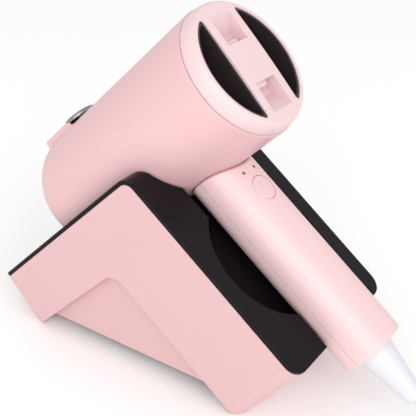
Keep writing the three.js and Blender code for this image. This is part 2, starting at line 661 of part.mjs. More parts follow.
const armRise = (() => {
  // the table touches both rounded feet, so the line through their centres is level
  const rearFoot = V2(-ARM_END + FOOT_R, -ARM_DROP - ARM_DEPTH + FOOT_R);
  const frontFoot = V2(...handlePoint(-LEG_SET - LEG_DEPTH + FOOT_R, LEG_END - FOOT_R));
  const line = frontFoot.clone().sub(rearFoot);
  return { angle: Math.atan2(-line.y, line.x), rearFoot };
})();
const tableLevel = (() => {
  const rear = armRise.rearFoot.clone().rotateAround(V2(0, 0), armRise.angle);
  return rear.y - FOOT_R + FOOT_FLAT;
})();
/** Everything above a level over the table, in the barrel frame. */
function aboveTable(height) {
  const slab = box(-400, 400, -200, 200, tableLevel + height, 400);
  return moved(slab, new THREE.Matrix4().makeRotationY(armRise.angle));
}

const armBossY = STAND_HALF - 13.2;
const legBossY = STAND_HALF - 15.2;
const bossPlaces = [
  { frame: 'arm', along: -ARM_END + 13, y: -armBossY }, { frame: 'arm', along: -ARM_END + 13, y: armBossY },
  { frame: 'leg', along: LEG_END - 9, y: -legBossY }, { frame: 'leg', along: LEG_END - 9, y: legBossY },
];
/** Bar square to the cradle face at a screw's place, between two depths under that face. */
function atBoss({ frame, along, y }, from, to, r, sides = SMALL_ROUND) {
  if (frame === 'arm') return upright(-ARM_DROP - to, -ARM_DROP - from, r, along, y, sides);
  return inBarrel(rodX(-LEG_SET - to, -LEG_SET - from, r, y, -along, sides));
}
const underside = ({ frame }) => (frame === 'arm' ? ARM_DEPTH : LEG_DEPTH);

function standShell() {
  const lip = PLATE + CLEAR;
  let shell = standBlock(chevron({ top: lip }), 0);
  const hollow = chevron({ top: lip - 3, under: SHELL_WALL, ends: SHELL_WALL });
  shell = shell.subtract(standBlock(hollow, SHELL_WALL));
  // recessed webs close the inner corner on both sides
  const corner = [
    [-ARM_END, -ARM_DROP - ARM_DEPTH + 1], [...meetInner(1)], handlePoint(-LEG_SET - LEG_DEPTH + 1, LEG_END),
  ];
  for (const side of [-1, 1]) {
    const y0 = side * (STAND_HALF - WEB_INSET);
    const y1 = side * (STAND_HALF - WEB_INSET - WEB_THICK);
    shell = shell.add(prism('y', corner, Math.min(y0, y1), Math.max(y0, y1)).intersect(aboveTable(WEB_GROUND))
      .subtract(standBlock(chevron({ top: -20, under: 1, ends: -5 }), -5)));
  }
  shell = cut(shell, trough(TROUGH_WALL + CLEAR));
  for (const place of bossPlaces) {
    const depth = underside(place);
    shell = shell.subtract(atBoss(place, depth - SHELL_WALL - 2, depth + 2, 1.5 + CLEAR));
  }
  return shell.intersect(aboveTable(0));
}
function meetInner(by) {
  const z = -ARM_DROP - ARM_DEPTH + by;
  return [(-LEG_SET - LEG_DEPTH + by) / Math.cos(HANDLE_TILT) - z * Math.tan(HANDLE_TILT), z];
}

function cradlePlate() {
  const below = standBlock(chevron({ top: PLATE, under: -5, ends: -5 }), -5);
  const slab = standBlock(chevron({}), 0).subtract(below);
  const shrink = SHELL_WALL + CLEAR;
  const room = standBlock(chevron({ under: shrink, ends: shrink }), shrink);
  let plate = slab.add(trough(TROUGH_WALL).intersect(room));
  for (const place of bossPlaces) {
    plate = plate.add(atBoss(place, PLATE / 2, underside(place) - SHELL_WALL - CLEAR, 3.6));
  }
  plate = plate.subtract(trough(0));
  for (const place of bossPlaces) {
    plate = plate.subtract(atBoss(place, underside(place) - SHELL_WALL - 12, underside(place), 1.3 + CLEAR));
  }
  return plate;
}

function standScrew(place) {
  const seat = underside(place);
  const head = atBoss(place, seat + CLEAR, seat + CLEAR + 1.4, 2.8);
  return head.add(atBoss(place, seat - SHELL_WALL - 10, seat + 1, 1.3, 10));
}

piece('stand_shell', standShell(), PINK);
piece('cradle_plate', cradlePlate(), BLACK);
bossPlaces.forEach((place, i) => piece(`stand_screw_${i + 1}`, standScrew(place), STEEL));

// ---------- lead, coil and plug ----------
function cordTube(points) {
  const path = new THREE.CatmullRomCurve3(points.map((p) => V3(...p)), false, 'centripetal');
  const steps = Math.round(path.getLength() / (CORD_R * 4));
  const sweep = { steps, extrudePath: path, bevelEnabled: false };
  return solid(new THREE.ExtrudeGeometry(ringSection(CORD_R, 8), sweep));
}

/** Flat coil about Z with bevelled edges. */
function cordCoil() {
  const bevel = 1.5;
  const top = COIL_FLOOR + COIL_HEIGHT;
  const profile = [
    [COIL_INNER, COIL_FLOOR + bevel], [COIL_INNER + bevel, COIL_FLOOR], [COIL_OUTER - bevel, COIL_FLOOR],
    [COIL_OUTER, COIL_FLOOR + bevel], [COIL_OUTER, top - bevel], [COIL_OUTER - bevel, top],
    [COIL_INNER + bevel, top], [COIL_INNER, top - bevel], [COIL_INNER, COIL_FLOOR + bevel],
  ];
  const ring = new THREE.LatheGeometry(profile.map(([r, z]) => V2(r, z)), ROUND).rotateX(Math.PI / 2);
  return moved(solid(ring), new THREE.Matrix4().makeTranslation(...COIL_CENTRE, 0));
}

/** Strap round the coil's section, on its far side from the object. */
function cordTie() {
  const [x, y] = COIL_CENTRE;
  const half = TIE_WIDTH / 2;
  const inner = Math.sqrt(COIL_INNER ** 2 - half ** 2) * Math.cos(Math.PI / ROUND) - CLEAR;
  const loop = (grow, reach) => box(x + inner - grow, x + COIL_OUTER + CLEAR + grow, y - reach, y + reach,
    COIL_FLOOR - CLEAR - grow, COIL_FLOOR + COIL_HEIGHT + CLEAR + grow);
  return loop(TIE_THICK, half).subtract(loop(0, half + 1));
}

const plugStart = PLUG.x + CLEAR;
const bodyStart = plugStart + PLUG.neck;
const bodyEnd = bodyStart + PLUG.length;
function plugBody() {
  const half = PLUG.width / 2;
  const outline = rounded([
    [bodyStart, half - 4, 3], [bodyStart + 9, half, 6], [bodyEnd, half, 3],
    [bodyEnd, -half, 3], [bodyStart + 9, -half, 6], [bodyStart, 4 - half, 3],
  ], 3).map(([x, y]) => [x, y + PLUG.y]).reverse();
  const body = prism('z', outline, PLUG.z - PLUG.thick / 2, PLUG.z + PLUG.thick / 2);
  const neck = turned([[plugStart, 0], [plugStart, 4], [bodyStart + 3, 5.2], [bodyStart + 3, 0]], 20);
  let plug = body.add(moved(neck, new THREE.Matrix4().makeTranslation(0, PLUG.y, PLUG.z)));
  for (const side of [-1, 1]) {
    plug = plug.subtract(bladeBox(side, CLEAR, bodyEnd - 5));
  }
  return plug;
}
function bladeBox(side, grow, from) {
  const y = PLUG.y + (side * BLADE.spacing) / 2;
  const halfThick = BLADE.thick / 2 + grow;
  const halfWidth = BLADE.width / 2 + grow;
  const [low, high] = [PLUG.z - halfWidth, PLUG.z + halfWidth];
  return box(from, bodyEnd + BLADE.length, y - halfThick, y + halfThick, low, high);
}

piece('cord_lead', cordTube(LEAD_POINTS), WHITE, assembly);
piece('cord_coil', cordCoil(), WHITE, assembly);
piece('cord_tail', cordTube(TAIL_POINTS), WHITE, assembly);
piece('cord_tie', cordTie(), WHITE, assembly);
piece('plug_body', plugBody(), WHITE, assembly);
for (const [i, side] of [-1, 1].entries()) {
  piece(`plug_blade_${i + 1}`, bladeBox(side, 0, bodyEnd - 5 + CLEAR), STEEL, assembly);
}

// ---------- place the object on the table ----------
barrelFrame.rotation.y = -armRise.angle;
barrelFrame.position.z = -tableLevel;
assembly.updateMatrixWorld(true);
const extent = new THREE.Box3().setFromObject(barrelFrame, true);
barrelFrame.position.x = -(extent.min.x + extent.max.x) / 2;

export default assembly;
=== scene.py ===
# Hair dryer lying in its own desk cradle, with its lead wound in a coil beside it.
# Lengths inside the functions are millimetres, in the frame of the barrel, of the handle or of the
# table. Calling a Frame turns them into the metres of the row frame.
import json
import math

import bmesh
import bpy
import numpy as np
from mathutils import Matrix, Vector


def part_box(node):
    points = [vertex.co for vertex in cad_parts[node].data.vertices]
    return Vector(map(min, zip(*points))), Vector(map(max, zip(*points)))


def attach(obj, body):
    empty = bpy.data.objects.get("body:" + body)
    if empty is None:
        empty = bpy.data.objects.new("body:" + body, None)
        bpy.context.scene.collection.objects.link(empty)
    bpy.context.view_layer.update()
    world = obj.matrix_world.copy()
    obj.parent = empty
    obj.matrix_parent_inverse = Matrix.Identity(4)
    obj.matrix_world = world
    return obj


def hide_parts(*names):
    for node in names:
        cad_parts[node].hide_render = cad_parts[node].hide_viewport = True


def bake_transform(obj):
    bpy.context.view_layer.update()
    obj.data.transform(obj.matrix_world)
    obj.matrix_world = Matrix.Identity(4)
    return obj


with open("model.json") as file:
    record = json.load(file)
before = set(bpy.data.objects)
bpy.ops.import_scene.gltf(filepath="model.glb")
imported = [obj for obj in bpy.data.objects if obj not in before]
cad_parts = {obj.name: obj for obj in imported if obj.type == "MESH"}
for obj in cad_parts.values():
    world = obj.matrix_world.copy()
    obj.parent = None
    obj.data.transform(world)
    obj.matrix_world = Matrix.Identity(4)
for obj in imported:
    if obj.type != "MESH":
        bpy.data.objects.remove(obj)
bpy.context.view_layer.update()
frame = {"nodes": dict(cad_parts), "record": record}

bl_info = {
    "name": "Cradled Hair Dryer",
    "version": (1, 0, 0),
    "blender": (4, 5, 0),
    "location": "View3D > Sidebar > Dryer",
    "description": "Builds the visible pieces of a hair dryer and its desk cradle on their CAD frame",
    "category": "Object",
}

MM = 0.001
JOINTS = {joint["name"]: joint for joint in frame["record"]["behaviour"]["joints"]}


class Frame:
    """Right-handed frame with Y across the object: an origin in metres and the direction of X."""

    def __init__(self, origin, x_axis):
        self.origin = np.array(origin, float)
        self.x = np.array(x_axis, float) / np.linalg.norm(x_axis)
        self.y = np.array([0.0, 1.0, 0.0])
        self.z = np.cross(self.x, self.y)

    def __call__(self, points):
        """Millimetre points in this frame, as metre points in the row frame."""
        points = np.asarray(points, float) * MM
        turned = points[..., 0:1] * self.x + points[..., 1:2] * self.y + points[..., 2:3] * self.z
        return turned + self.origin

    def local(self, places):
        """Metre points of the row frame, as millimetre points in this frame."""
        return (places - self.origin) @ np.column_stack([self.x, self.y, self.z]) / MM


TABLE = Frame((0, 0, 0), (1, 0, 0))
BARREL = Frame(JOINTS["fan_spin"]["pos_m"], JOINTS["fan_spin"]["axis"])
HANDLE = Frame(JOINTS["fan_spin"]["pos_m"], -np.array(JOINTS["power_button_press"]["axis"]))
HANDLE_TILT = math.acos(float(np.dot(BARREL.x, HANDLE.x)))

# ---------- fixed sizes, in millimetres ----------
CLEAR = 0.3
SMALL_EDGE = 0.15
SEAM_X = 56.5
DOME_X = -80.0
INLET_R = 26.0
INLET_SLOTS = 24
SLOT_HALF = 0.8
SLOT_STARTS = (6.0, 13.0)
SLOT_END = 22.0
CAP_SKIN = 1.6
WALL = 2.2
FACE_X = 65.8
FACE_R = 35.9
OUTLET_R = 34.5
BAR_HALF = 15.0
BAR_BACK_X = 54.5
SPIGOT_LENGTH = 8.0
SOCKET_HALF = 9.3
SOCKET_IN = 12.0
SOCKET_OUT = 29.3
SOCKET_DEPTH = 8.0
TAB_WIDTH = 12.0
LINER_REAR_X = 45.5
LINER_WALL = 1.3
PAD_REAR_X = -92.5
PAD_HALF = 12.0
PAD_HEIGHT = 3.4
MODE_X = -61.5
MODE_POCKET = 0.9
HANDLE_END = 167.7
END_WALL = 2.5
FLANGE_R = 10.5
HANDLE_SEAM_X = -1.1
NECK_END = 46.0
SCREW_STATIONS = (51.0, 152.0)
BUTTON_S = 61.2
BUTTON_BACK = 13.9
STEM_BACK = 12.8
STEM_R = 2.0
LIGHT_S = 48.4
LIGHT_Y = 5.35
LIGHT_R = 1.0
BOOT_NECK = 8.0
BOOT_R = 11.0
BOOT_TIP_R = 5.5
BOOT_LENGTH = 35.0
ARM_DROP = 11.1
ARM_END = 149.6
ARM_DEPTH = 38.7
LEG_SET = 7.2
LEG_END = 149.7
LEG_DEPTH = 58.5
SHELL_WALL = 2.5
APEX_R = 9.0
INNER_R = 10.0
FOOT_R = 4.5
CORNER_R = 9.0
WEB_INSET = 7.0
WEB_THICK = 2.4
WEB_GROUND = 8.0
TROUGH_GAP = 1.0
TROUGH_WALL = 2.0
TROUGH_REACH_X = -113.0
TROUGH_REACH_Y = 42.0
NECK_GROOVE = 24.3
FINGER_S = 89.0
FINGER_R = 42.2
FINGER_FLOOR = -21.5

# the lead's route, where it isn't coiled, in metres
LEAD_ROUTE = [
    (0.1290, 0, 0.0190), (0.1355, 0, 0.0143), (0.1425, 0, 0.0096), (0.1500, 0, 0.0059), (0.1580, 0, 0.0037),
    (0.1680, 0, 0.00295), (0.1790, 0, 0.00285), (0.1895, 0, 0.00285), (0.2000, 0, 0.0033),
]
TAIL_ROUTE = [
    (0.17075, 0.030, 0.00925), (0.17075, 0.01875, 0.00925), (0.17075, 0.012, 0.0092), (0.17075, 0.004, 0.0088),
    (0.17075, -0.00275, 0.0086), (0.1708, -0.008, 0.0080), (0.1725, -0.0164, 0.0054), (0.1772, -0.0236, 0.0033),
    (0.1844, -0.0283, 0.0031), (0.1928, -0.030, 0.0048), (0.1980, -0.030, 0.0061), (0.2040, -0.030, 0.0065),
]
COIL_CENTRE = (212.0, 41.25)
COIL_INNER_TURN = 24.75
COIL_OUTER_TURN = 41.25
COIL_LOW = 3.75
TIE_THICK = 0.6
TIE_CORNER = 2.0
PLUG = {"x": 204.0, "y": -30.0, "z": 6.5, "neck": 10.0, "length": 26.0, "width": 22.0, "thick": 13.0}


# ---------- properties ----------
def length_property(name, description, default):
    return bpy.props.FloatProperty(name=name, description=description, default=default, unit="LENGTH",
                                   subtype="DISTANCE", precision=4, min=0.0)


def colour_property(name, description, default):
    return bpy.props.FloatVectorProperty(name=name, description=description, default=default, size=3,
                                         subtype="COLOR", min=0.0, max=1.0)


class DryerSizes(bpy.types.PropertyGroup):
    """Sizes of the visible pieces."""

    barrel_radius: length_property("Barrel radius", "Outside radius of the barrel", 0.040)
    dome_depth: length_property("Dome depth", "How far the rear dome bulges", 0.031)
    handle_half_depth: length_property("Handle half depth", "Half the handle's size, front to back", 0.0171)
    handle_half_width: length_property("Handle half width", "Half the handle's size, side to side", 0.0187)
    mode_button_radius: length_property("Mode button radius", "Radius of the round button on top", 0.011)
    power_button_radius: length_property("Power button radius", "Radius of the handle's button", 0.0076)
    cord_diameter: length_property("Cord diameter", "Thickness of the lead", 0.0055)
    cord_length: length_property("Cord length", "Whole length of the lead, boot to plug", 1.55)
    stand_half_width: length_property("Stand half width", "Half the width of the cradle", 0.0532)
    plate_thickness: length_property("Plate thickness", "Thickness of the black cradle top at its edge", 0.0022)
    lip_radius: length_property("Lip radius", "Rounding of the cradle's top edges", 0.0006)
    edge_radius: length_property("Edge radius", "Rounding of moulded edges", 0.0005)
    handle_power: bpy.props.FloatProperty(name="Handle squareness", default=2.6, min=2.0, max=6.0,
                                          description="Exponent of the superellipse of the handle's section")
    round_sides: bpy.props.IntProperty(name="Round sides", default=160, min=24, max=400,
                                       description="Faces round a large round piece")


class DryerColours(bpy.types.PropertyGroup):
    """Colours of the finishes."""

    barrel_pink: colour_property("Barrel pink", "Moulded barrel", (0.710, 0.452, 0.463))
    stand_pink: colour_property("Stand pink", "Stand shell", (0.643, 0.412, 0.419))
    bezel_pink: colour_property("Bezel pink", "Outlet ring", (0.733, 0.545, 0.555))
    handle_pink: colour_property("Handle pink", "Handle shells and button", (0.771, 0.540, 0.550))
    cradle_black: colour_property("Cradle black", "Cradle top", (0.009, 0.007, 0.009))
    liner_black: colour_property("Liner black", "Inside of the outlet", (0.028, 0.020, 0.022))
    gunmetal: colour_property("Gunmetal", "Mode button", (0.300, 0.282, 0.280))
    cord_white: colour_property("Cord white", "Lead, boot and plug", (0.650, 0.655, 0.690))
    mica: colour_property("Mica", "Heater boards and sleeve", (0.300, 0.200, 0.120))


# ---------- meshes ----------
def object_from(name, vertices, faces):
    """New object of a mesh with its doubles merged and its faces turned outwards."""
    mesh = bpy.data.meshes.new(name)
    mesh.from_pydata(np.asarray(vertices, float).reshape(-1, 3), [], faces)
    obj = bpy.data.objects.new(name, mesh)
    bpy.context.scene.collection.objects.link(obj)
    clean(obj, 1e-6)
    return obj


def clean(obj, distance):
    """Merges doubles, drops faces without area and turns the rest outwards."""
    work = bmesh.new()
    work.from_mesh(obj.data)
    bmesh.ops.remove_doubles(work, verts=work.verts, dist=distance)
    bmesh.ops.dissolve_degenerate(work, edges=work.edges, dist=distance)
    bmesh.ops.recalc_face_normals(work, faces=work.faces)
    work.to_mesh(obj.data)
    work.free()


def grid_faces(rows, cols, wrap_rows=False, wrap_cols=True):
    """Quads between neighbouring points of a rows by cols grid, as index arrays."""
    row = np.arange(rows if wrap_rows else rows - 1)[:, None]
    col = np.arange(cols if wrap_cols else cols - 1)[None, :]
    below, beside = (row + 1) % rows, (col + 1) % cols
    corners = [row * cols + col, below * cols + col, below * cols + beside, row * cols + beside]
    return np.stack([np.broadcast_to(c, (len(row), col.shape[1])) for c in corners], axis=-1).reshape(-1, 4)


def surface(name, grid, wrap_rows=False, wrap_cols=True):
    """Skin over a grid of metre points; rows that shrink to one point close it as poles."""
    rows, cols = grid.shape[:2]
    return object_from(name, grid, grid_faces(rows, cols, wrap_rows, wrap_cols).tolist())


def thick_sheet(name, outer, inner):
    """Closed wall between two grids of the same size: both skins, and a strip along each of the four edges."""
    rows, cols = outer.shape[:2]
    skins = grid_faces(rows, cols, wrap_cols=False)
    number = np.arange(rows * cols).reshape(rows, cols)
    rim = np.concatenate([number[0, :-1], number[:-1, -1], number[-1, :0:-1], number[:0:-1, 0]])
    ahead = np.roll(rim, -1)
    shift = rows * cols
    strip = columns(rim, ahead, ahead + shift, rim + shift)
    faces = np.concatenate([skins, skins[:, ::-1] + shift, strip])
    return object_from(name, np.concatenate([outer.reshape(-1, 3), inner.reshape(-1, 3)]), faces.tolist())


def columns(*parts):
    """Arrays or numbers side by side, as a new last axis."""
    return np.stack(np.broadcast_arrays(*parts), axis=-1)


def quarter(count):
    """Angles from 0 to a right angle."""
    return np.linspace(0, np.pi / 2, count)


def circle(count):
    """Angles once round, without the last."""
    return np.linspace(0, 2 * np.pi, count, endpoint=False)


def turned(name, profile, place, sides, axis="x", centre=(0, 0)):
    """Surface of revolution: each [station, radius] point of the profile is swept round a line along an axis."""
    profile = np.asarray(profile, float)
    across = centre[0] + profile[:, 1:] * np.sin(circle(sides))
    beside = centre[1] + profile[:, 1:] * np.cos(circle(sides))
    closed = profile[0, 1] > 1e-9
    points = columns(across, beside, profile[:, :1])[..., AXES[axis]]
    return surface(name, place(points), wrap_rows=closed)


AXES = {"x": (2, 0, 1), "y": (0, 2, 1), "z": (0, 1, 2)}


def prism(name, axis, outline, low, high, place):
    """Outline extruded along an axis between two stations, with a flat cap at each end."""
    outline = np.asarray(outline, float)
    count = len(outline)
    ends = [columns(*outline.T, station)[:, AXES[axis]] for station in (low, high)]
    ring = np.arange(count)
    sides = columns(ring, np.roll(ring, -1), np.roll(ring, -1) + count, ring + count)
    faces = sides.tolist() + [ring[::-1].tolist(), (ring + count).tolist()]
    return object_from(name, place(np.concatenate(ends)), faces)


def block(name, low, high, place):
    """Rectangular block between two corners."""
    return prism(name, "z", rectangle(low[:2], high[:2]), low[2], high[2], place)


def rod(name, centre, axis, low, high, radius, place, sides=64):
    """Round bar along an axis, its centre given by the two coordinates across that axis."""
    angle = circle(sides)
    outline = columns(centre[0] + radius * np.cos(angle), centre[1] + radius * np.sin(angle))
    return prism(name, axis, outline, low, high, place)


def rounded(corners, steps=10):
    """Polygon with each corner replaced by an arc tangent to both of its sides; corners are [x, y, radius]."""
    corners = np.asarray(corners, float)
    points = []
    for i, (x, y, r) in enumerate(corners):
        here = np.array([x, y])
        back = corners[i - 1, :2] - here
        ahead = corners[(i + 1) % len(corners), :2] - here
        if r <= 0:
            points.append(here[None, :])
            continue
        back, ahead = back / np.linalg.norm(back), ahead / np.linalg.norm(ahead)
        half = math.acos(np.clip(back @ ahead, -1, 1)) / 2
        middle = (back + ahead) / np.linalg.norm(back + ahead)
        centre = here + middle * r / math.sin(half)
        start = here + back * r / math.tan(half) - centre
        end = here + ahead * r / math.tan(half) - centre
        sweep = math.atan2(start[0] * end[1] - start[1] * end[0], start @ end)
        t = sweep * np.linspace(0, 1, steps + 1)[:, None]
        side = np.array([-start[1], start[0]])
        points.append(centre + start * np.cos(t) + side * np.sin(t))
    return np.concatenate(points)


def rectangle(low, high, near=0, far=None, steps=10):
    """Rounded rectangle between two corners, with one radius at its low end in X and another at its high end."""
    far = near if far is None else far
    return rounded([(low[0], low[1], near), (high[0], low[1], far), (high[0], high[1], far),
                    (low[0], high[1], near)], steps)


def superellipse(angle, half_x, half_y, power):
    """Point of a superellipse: each half width times the cosine or sine raised to 2 over the power, sign kept."""
    cosine, sine = np.cos(angle), np.sin(angle)
    x = half_x * np.sign(cosine) * np.abs(cosine) ** (2 / power)
    y = half_y * np.sign(sine) * np.abs(sine) ** (2 / power)
    return x, y


def smooth_step(t):
    """Zero below 0, one above 1, and 3 t squared minus 2 t cubed between."""
    t = np.clip(t, 0, 1)
    return t * t * (3 - 2 * t)


def apply_modifiers(obj):
    """Replaces an object's mesh by what its modifiers make of it."""
    made = bpy.data.meshes.new_from_object(obj.evaluated_get(bpy.context.evaluated_depsgraph_get()))
    obj.modifiers.clear()
    old = obj.data
    obj.data = made
    bpy.data.meshes.remove(old)


def discard(obj):
    """Removes an object and its mesh."""
    mesh = obj.data
    bpy.data.objects.remove(obj)
    bpy.data.meshes.remove(mesh)


def combine(base, tools, operation="DIFFERENCE"):
    """Cuts, joins or intersects the base with each tool in turn, and removes the tools."""
    for tool in tools:
        step = base.modifiers.new("Combine", "BOOLEAN")
        step.operation = operation
        step.solver = "MANIFOLD"
        step.object = tool
        apply_modifiers(base)
        discard(tool)
    return base


def smooth(obj, angle=35):
    """Smooth shading with edges sharper than an angle kept crisp."""
    obj.data.shade_smooth()
    obj.data.set_sharp_from_angle(angle=math.radians(angle))


def soften_edges(obj, width, segments=3, angle=30, share=None, flat=0.4):
    """Rounds the edges that point outwards; share scales the width from the places of their middles, 0 to 1."""
    work = bmesh.new()
    work.from_mesh(obj.data)
    bmesh.ops.remove_doubles(work, verts=work.verts, dist=0.005 * MM)
    bmesh.ops.dissolve_limit(work, angle_limit=math.radians(flat), verts=work.verts, edges=work.edges)
    work.to_mesh(obj.data)
    work.free()
    weigh_edges(obj.data, share, math.radians(angle))
    bevel = obj.modifiers.new("Soft edges", "BEVEL")
    bevel.width = width
    bevel.segments = segments
    bevel.use_clamp_overlap = False
    bevel.limit_method = "WEIGHT"
    apply_modifiers(obj)
    smooth(obj, 32)
    flatten = obj.modifiers.new("Flat faces", "WEIGHTED_NORMAL")
    flatten.keep_sharp = True
    apply_modifiers(obj)
    return obj


def weigh_edges(mesh, share, angle):
    """Stores a bevel weight on each edge that bends outwards by more than an angle."""
    ends = np.empty(len(mesh.edges) * 2, int)
    mesh.edges.foreach_get("vertices", ends)
    places = np.empty(len(mesh.vertices) * 3)
    mesh.vertices.foreach_get("co", places)
    middle = places.reshape(-1, 3)[ends.reshape(-1, 2)].mean(axis=1)
    work = bmesh.new()
    work.from_mesh(mesh)
    bends = np.array([edge.calc_face_angle_signed(0.0) for edge in work.edges])
    work.free()
    amount = share(middle) if share else np.ones(len(bends))
    layer = mesh.attributes.new("bevel_weight_edge", "FLOAT", "EDGE")
    layer.data.foreach_set("value", np.where(bends > angle, amount, 0.0).astype(np.float32))


def finish_piece(obj, body, finish, slot, *nodes):
    """Gives a piece its finish and the body it rides on, and hides the CAD nodes it stands for; the slot is not
    used.
    """
    coat(obj, finish)
    if body:
        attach(obj, body)
    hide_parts(*nodes)
    return obj


def join(base, others):
    """Puts the meshes of several objects into the first one."""
    work = bmesh.new()
    work.from_mesh(base.data)
    for other in others:
        work.from_mesh(other.data)
        discard(other)
    work.to_mesh(base.data)
    work.free()
    return base


# ---------- materials ----------
def fill(tree, node, inputs):
    """Gives each named input of a node its constant, or a link from another node's output."""
    for key, value in inputs.items():
        if isinstance(value, bpy.types.NodeSocket):
            tree.links.new(value, node.inputs[key])
        else:
            node.inputs[key].default_value = value


def add(tree, kind, inputs, **settings):
    """New node in a tree, with its settings and inputs."""
    node = tree.nodes.new(kind)
    for key, value in settings.items():
        setattr(node, key, value)
    fill(tree, node, inputs)
    return node


def scaled(tree, given, amount):
    """The given colour's value and the given roughness, both multiplied by an amount near one."""
    tint = add(tree, "ShaderNodeHueSaturation", {"Color": given["Colour"], "Value": amount})
    gloss = add(tree, "ShaderNodeMath", {0: given["Roughness"], 1: amount}, operation="MULTIPLY")
    return tint.outputs["Color"], gloss.outputs[0]


def spread(tree, value, low, high):
    """A value from 0 to 1, mapped to between two others."""
    return add(tree, "ShaderNodeMapRange", {"Value": value, "To Min": low, "To Max": high}).outputs["Result"]


def moulded(tree, given, where):
    """Moulded plastic: soft noise mottles the colour, and a fine spark texture is its bump height."""
    cloud = add(tree, "ShaderNodeTexNoise", {"Vector": where, "Scale": 28, "Detail": 3})
    grain = add(tree, "ShaderNodeTexNoise", {"Vector": where, "Scale": given["Grain Scale"], "Detail": 1})
    centred = add(tree, "ShaderNodeMath", {0: cloud.outputs["Fac"], 1: 0.5}, operation="SUBTRACT")
    terms = {0: centred.outputs[0], 1: given["Mottle"], 2: 1}
    amount = add(tree, "ShaderNodeMath", terms, operation="MULTIPLY_ADD")
    return *scaled(tree, given, amount.outputs[0]), grain.outputs["Fac"]


def brushed(tree, given, where):
    """Metal with fine lines: noise stretched a hundredfold along one axis drives roughness and bump height."""
    stretch = add(tree, "ShaderNodeMapping", {"Vector": where, "Scale": (60, 6000, 6000)})
    lines = add(tree, "ShaderNodeTexNoise", {"Vector": stretch.outputs["Vector"], "Scale": 1, "Detail": 2})
    height = lines.outputs["Fac"]
    return *scaled(tree, given, spread(tree, height, 0.75, 1.25)), height


def flecked(tree, given, where):
    """Pressed mica sheet: Voronoi cells vary the colour, and their edges make a faint relief."""
    height = add(tree, "ShaderNodeTexVoronoi", {"Vector": where, "Scale": 450}).outputs["Distance"]
    return *scaled(tree, given, spread(tree, height, 0.7, 1.3)), height


def traces(tree, given, where):
    """Circuit board: the joints of a brick pattern stand for copper tracks, lighter and raised."""
    track = add(tree, "ShaderNodeTexBrick", {"Vector": where, "Scale": 320, "Mortar Size": 0.03}).outputs["Fac"]
    blend = add(tree, "ShaderNodeMix", {}, data_type="RGBA")
    fill(tree, blend, {"Factor": track, "A": given["Mask"], "B": given["Track"]})
    return blend.outputs["Result"], spread(tree, track, 0.45, 0.25), track


EFFECTS = {
    "MouldedPlastic": (moulded, {"Colour": (0.8, 0.8, 0.8, 1), "Mottle": 0.03, "Grain Scale": 2500.0,
                                 "Roughness": 0.45}),
    "BrushedMetal": (brushed, {"Colour": (0.5, 0.5, 0.5, 1), "Roughness": 0.3}),
    "FleckedSheet": (flecked, {"Colour": (0.3, 0.2, 0.1, 1), "Roughness": 0.5}),
    "CircuitTraces": (traces, {"Mask": (0.01, 0.1, 0.04, 1), "Track": (0.06, 0.25, 0.1, 1)}),
}


def effect(name):
    """Node group of one effect, built once: its own inputs, and a colour, a roughness and a height as outputs."""
    if name in bpy.data.node_groups:
        return bpy.data.node_groups[name]
    group = bpy.data.node_groups.new(name, "ShaderNodeTree")
    build, inputs = EFFECTS[name]
    for label, value in inputs.items():
        kind = "NodeSocketColor" if isinstance(value, tuple) else "NodeSocketFloat"
        group.interface.new_socket(name=label, in_out="INPUT", socket_type=kind).default_value = value
    for label, kind in (("Colour", "Color"), ("Roughness", "Float"), ("Height", "Float")):
        group.interface.new_socket(name=label, in_out="OUTPUT", socket_type="NodeSocket" + kind)
    given = group.nodes.new("NodeGroupInput").outputs
    where = group.nodes.new("ShaderNodeTexCoord").outputs["Object"]
    colour, roughness, height = build(group, given, where)
    add(group, "NodeGroupOutput", {"Colour": colour, "Roughness": roughness, "Height": height})
    return group


def material(name, effect_name, values, bump, constants):
    """Material whose shader takes colour, roughness and bump from one effect, and constants on its own inputs."""
    if name in bpy.data.materials:
        return bpy.data.materials[name]
    made = bpy.data.materials.new(name)
    made.use_nodes = True
    tree = made.node_tree
    source = add(tree, "ShaderNodeGroup", {}, node_tree=effect(effect_name))
    fill(tree, source, values)
    height = {"Strength": bump, "Distance": 0.05 * MM, "Height": source.outputs["Height"]}
    relief = add(tree, "ShaderNodeBump", height)
    fill(tree, tree.nodes["Principled BSDF"], {
        "Base Color": source.outputs["Colour"], "Roughness": source.outputs["Roughness"],
        "Normal": relief.outputs["Normal"], **constants})
    return made


def plastic(name, colour, roughness, mottle=0.03, grain=2500.0, bump=0.25, shine=0.5):
    """Moulded plastic of one colour; shine is how strongly its surface mirrors, half for common plastic."""
    values = {"Colour": (*colour, 1), "Mottle": mottle, "Grain Scale": grain, "Roughness": roughness}
    return material(name, "MouldedPlastic", values, bump, {"Specular IOR Level": shine})


def metal(name, colour, roughness, bump=0.2):
    """Metal of one colour with fine drawn lines."""
    values = {"Colour": (*colour, 1), "Roughness": roughness}
    return material(name, "BrushedMetal", values, bump, {"Metallic": 1.0})


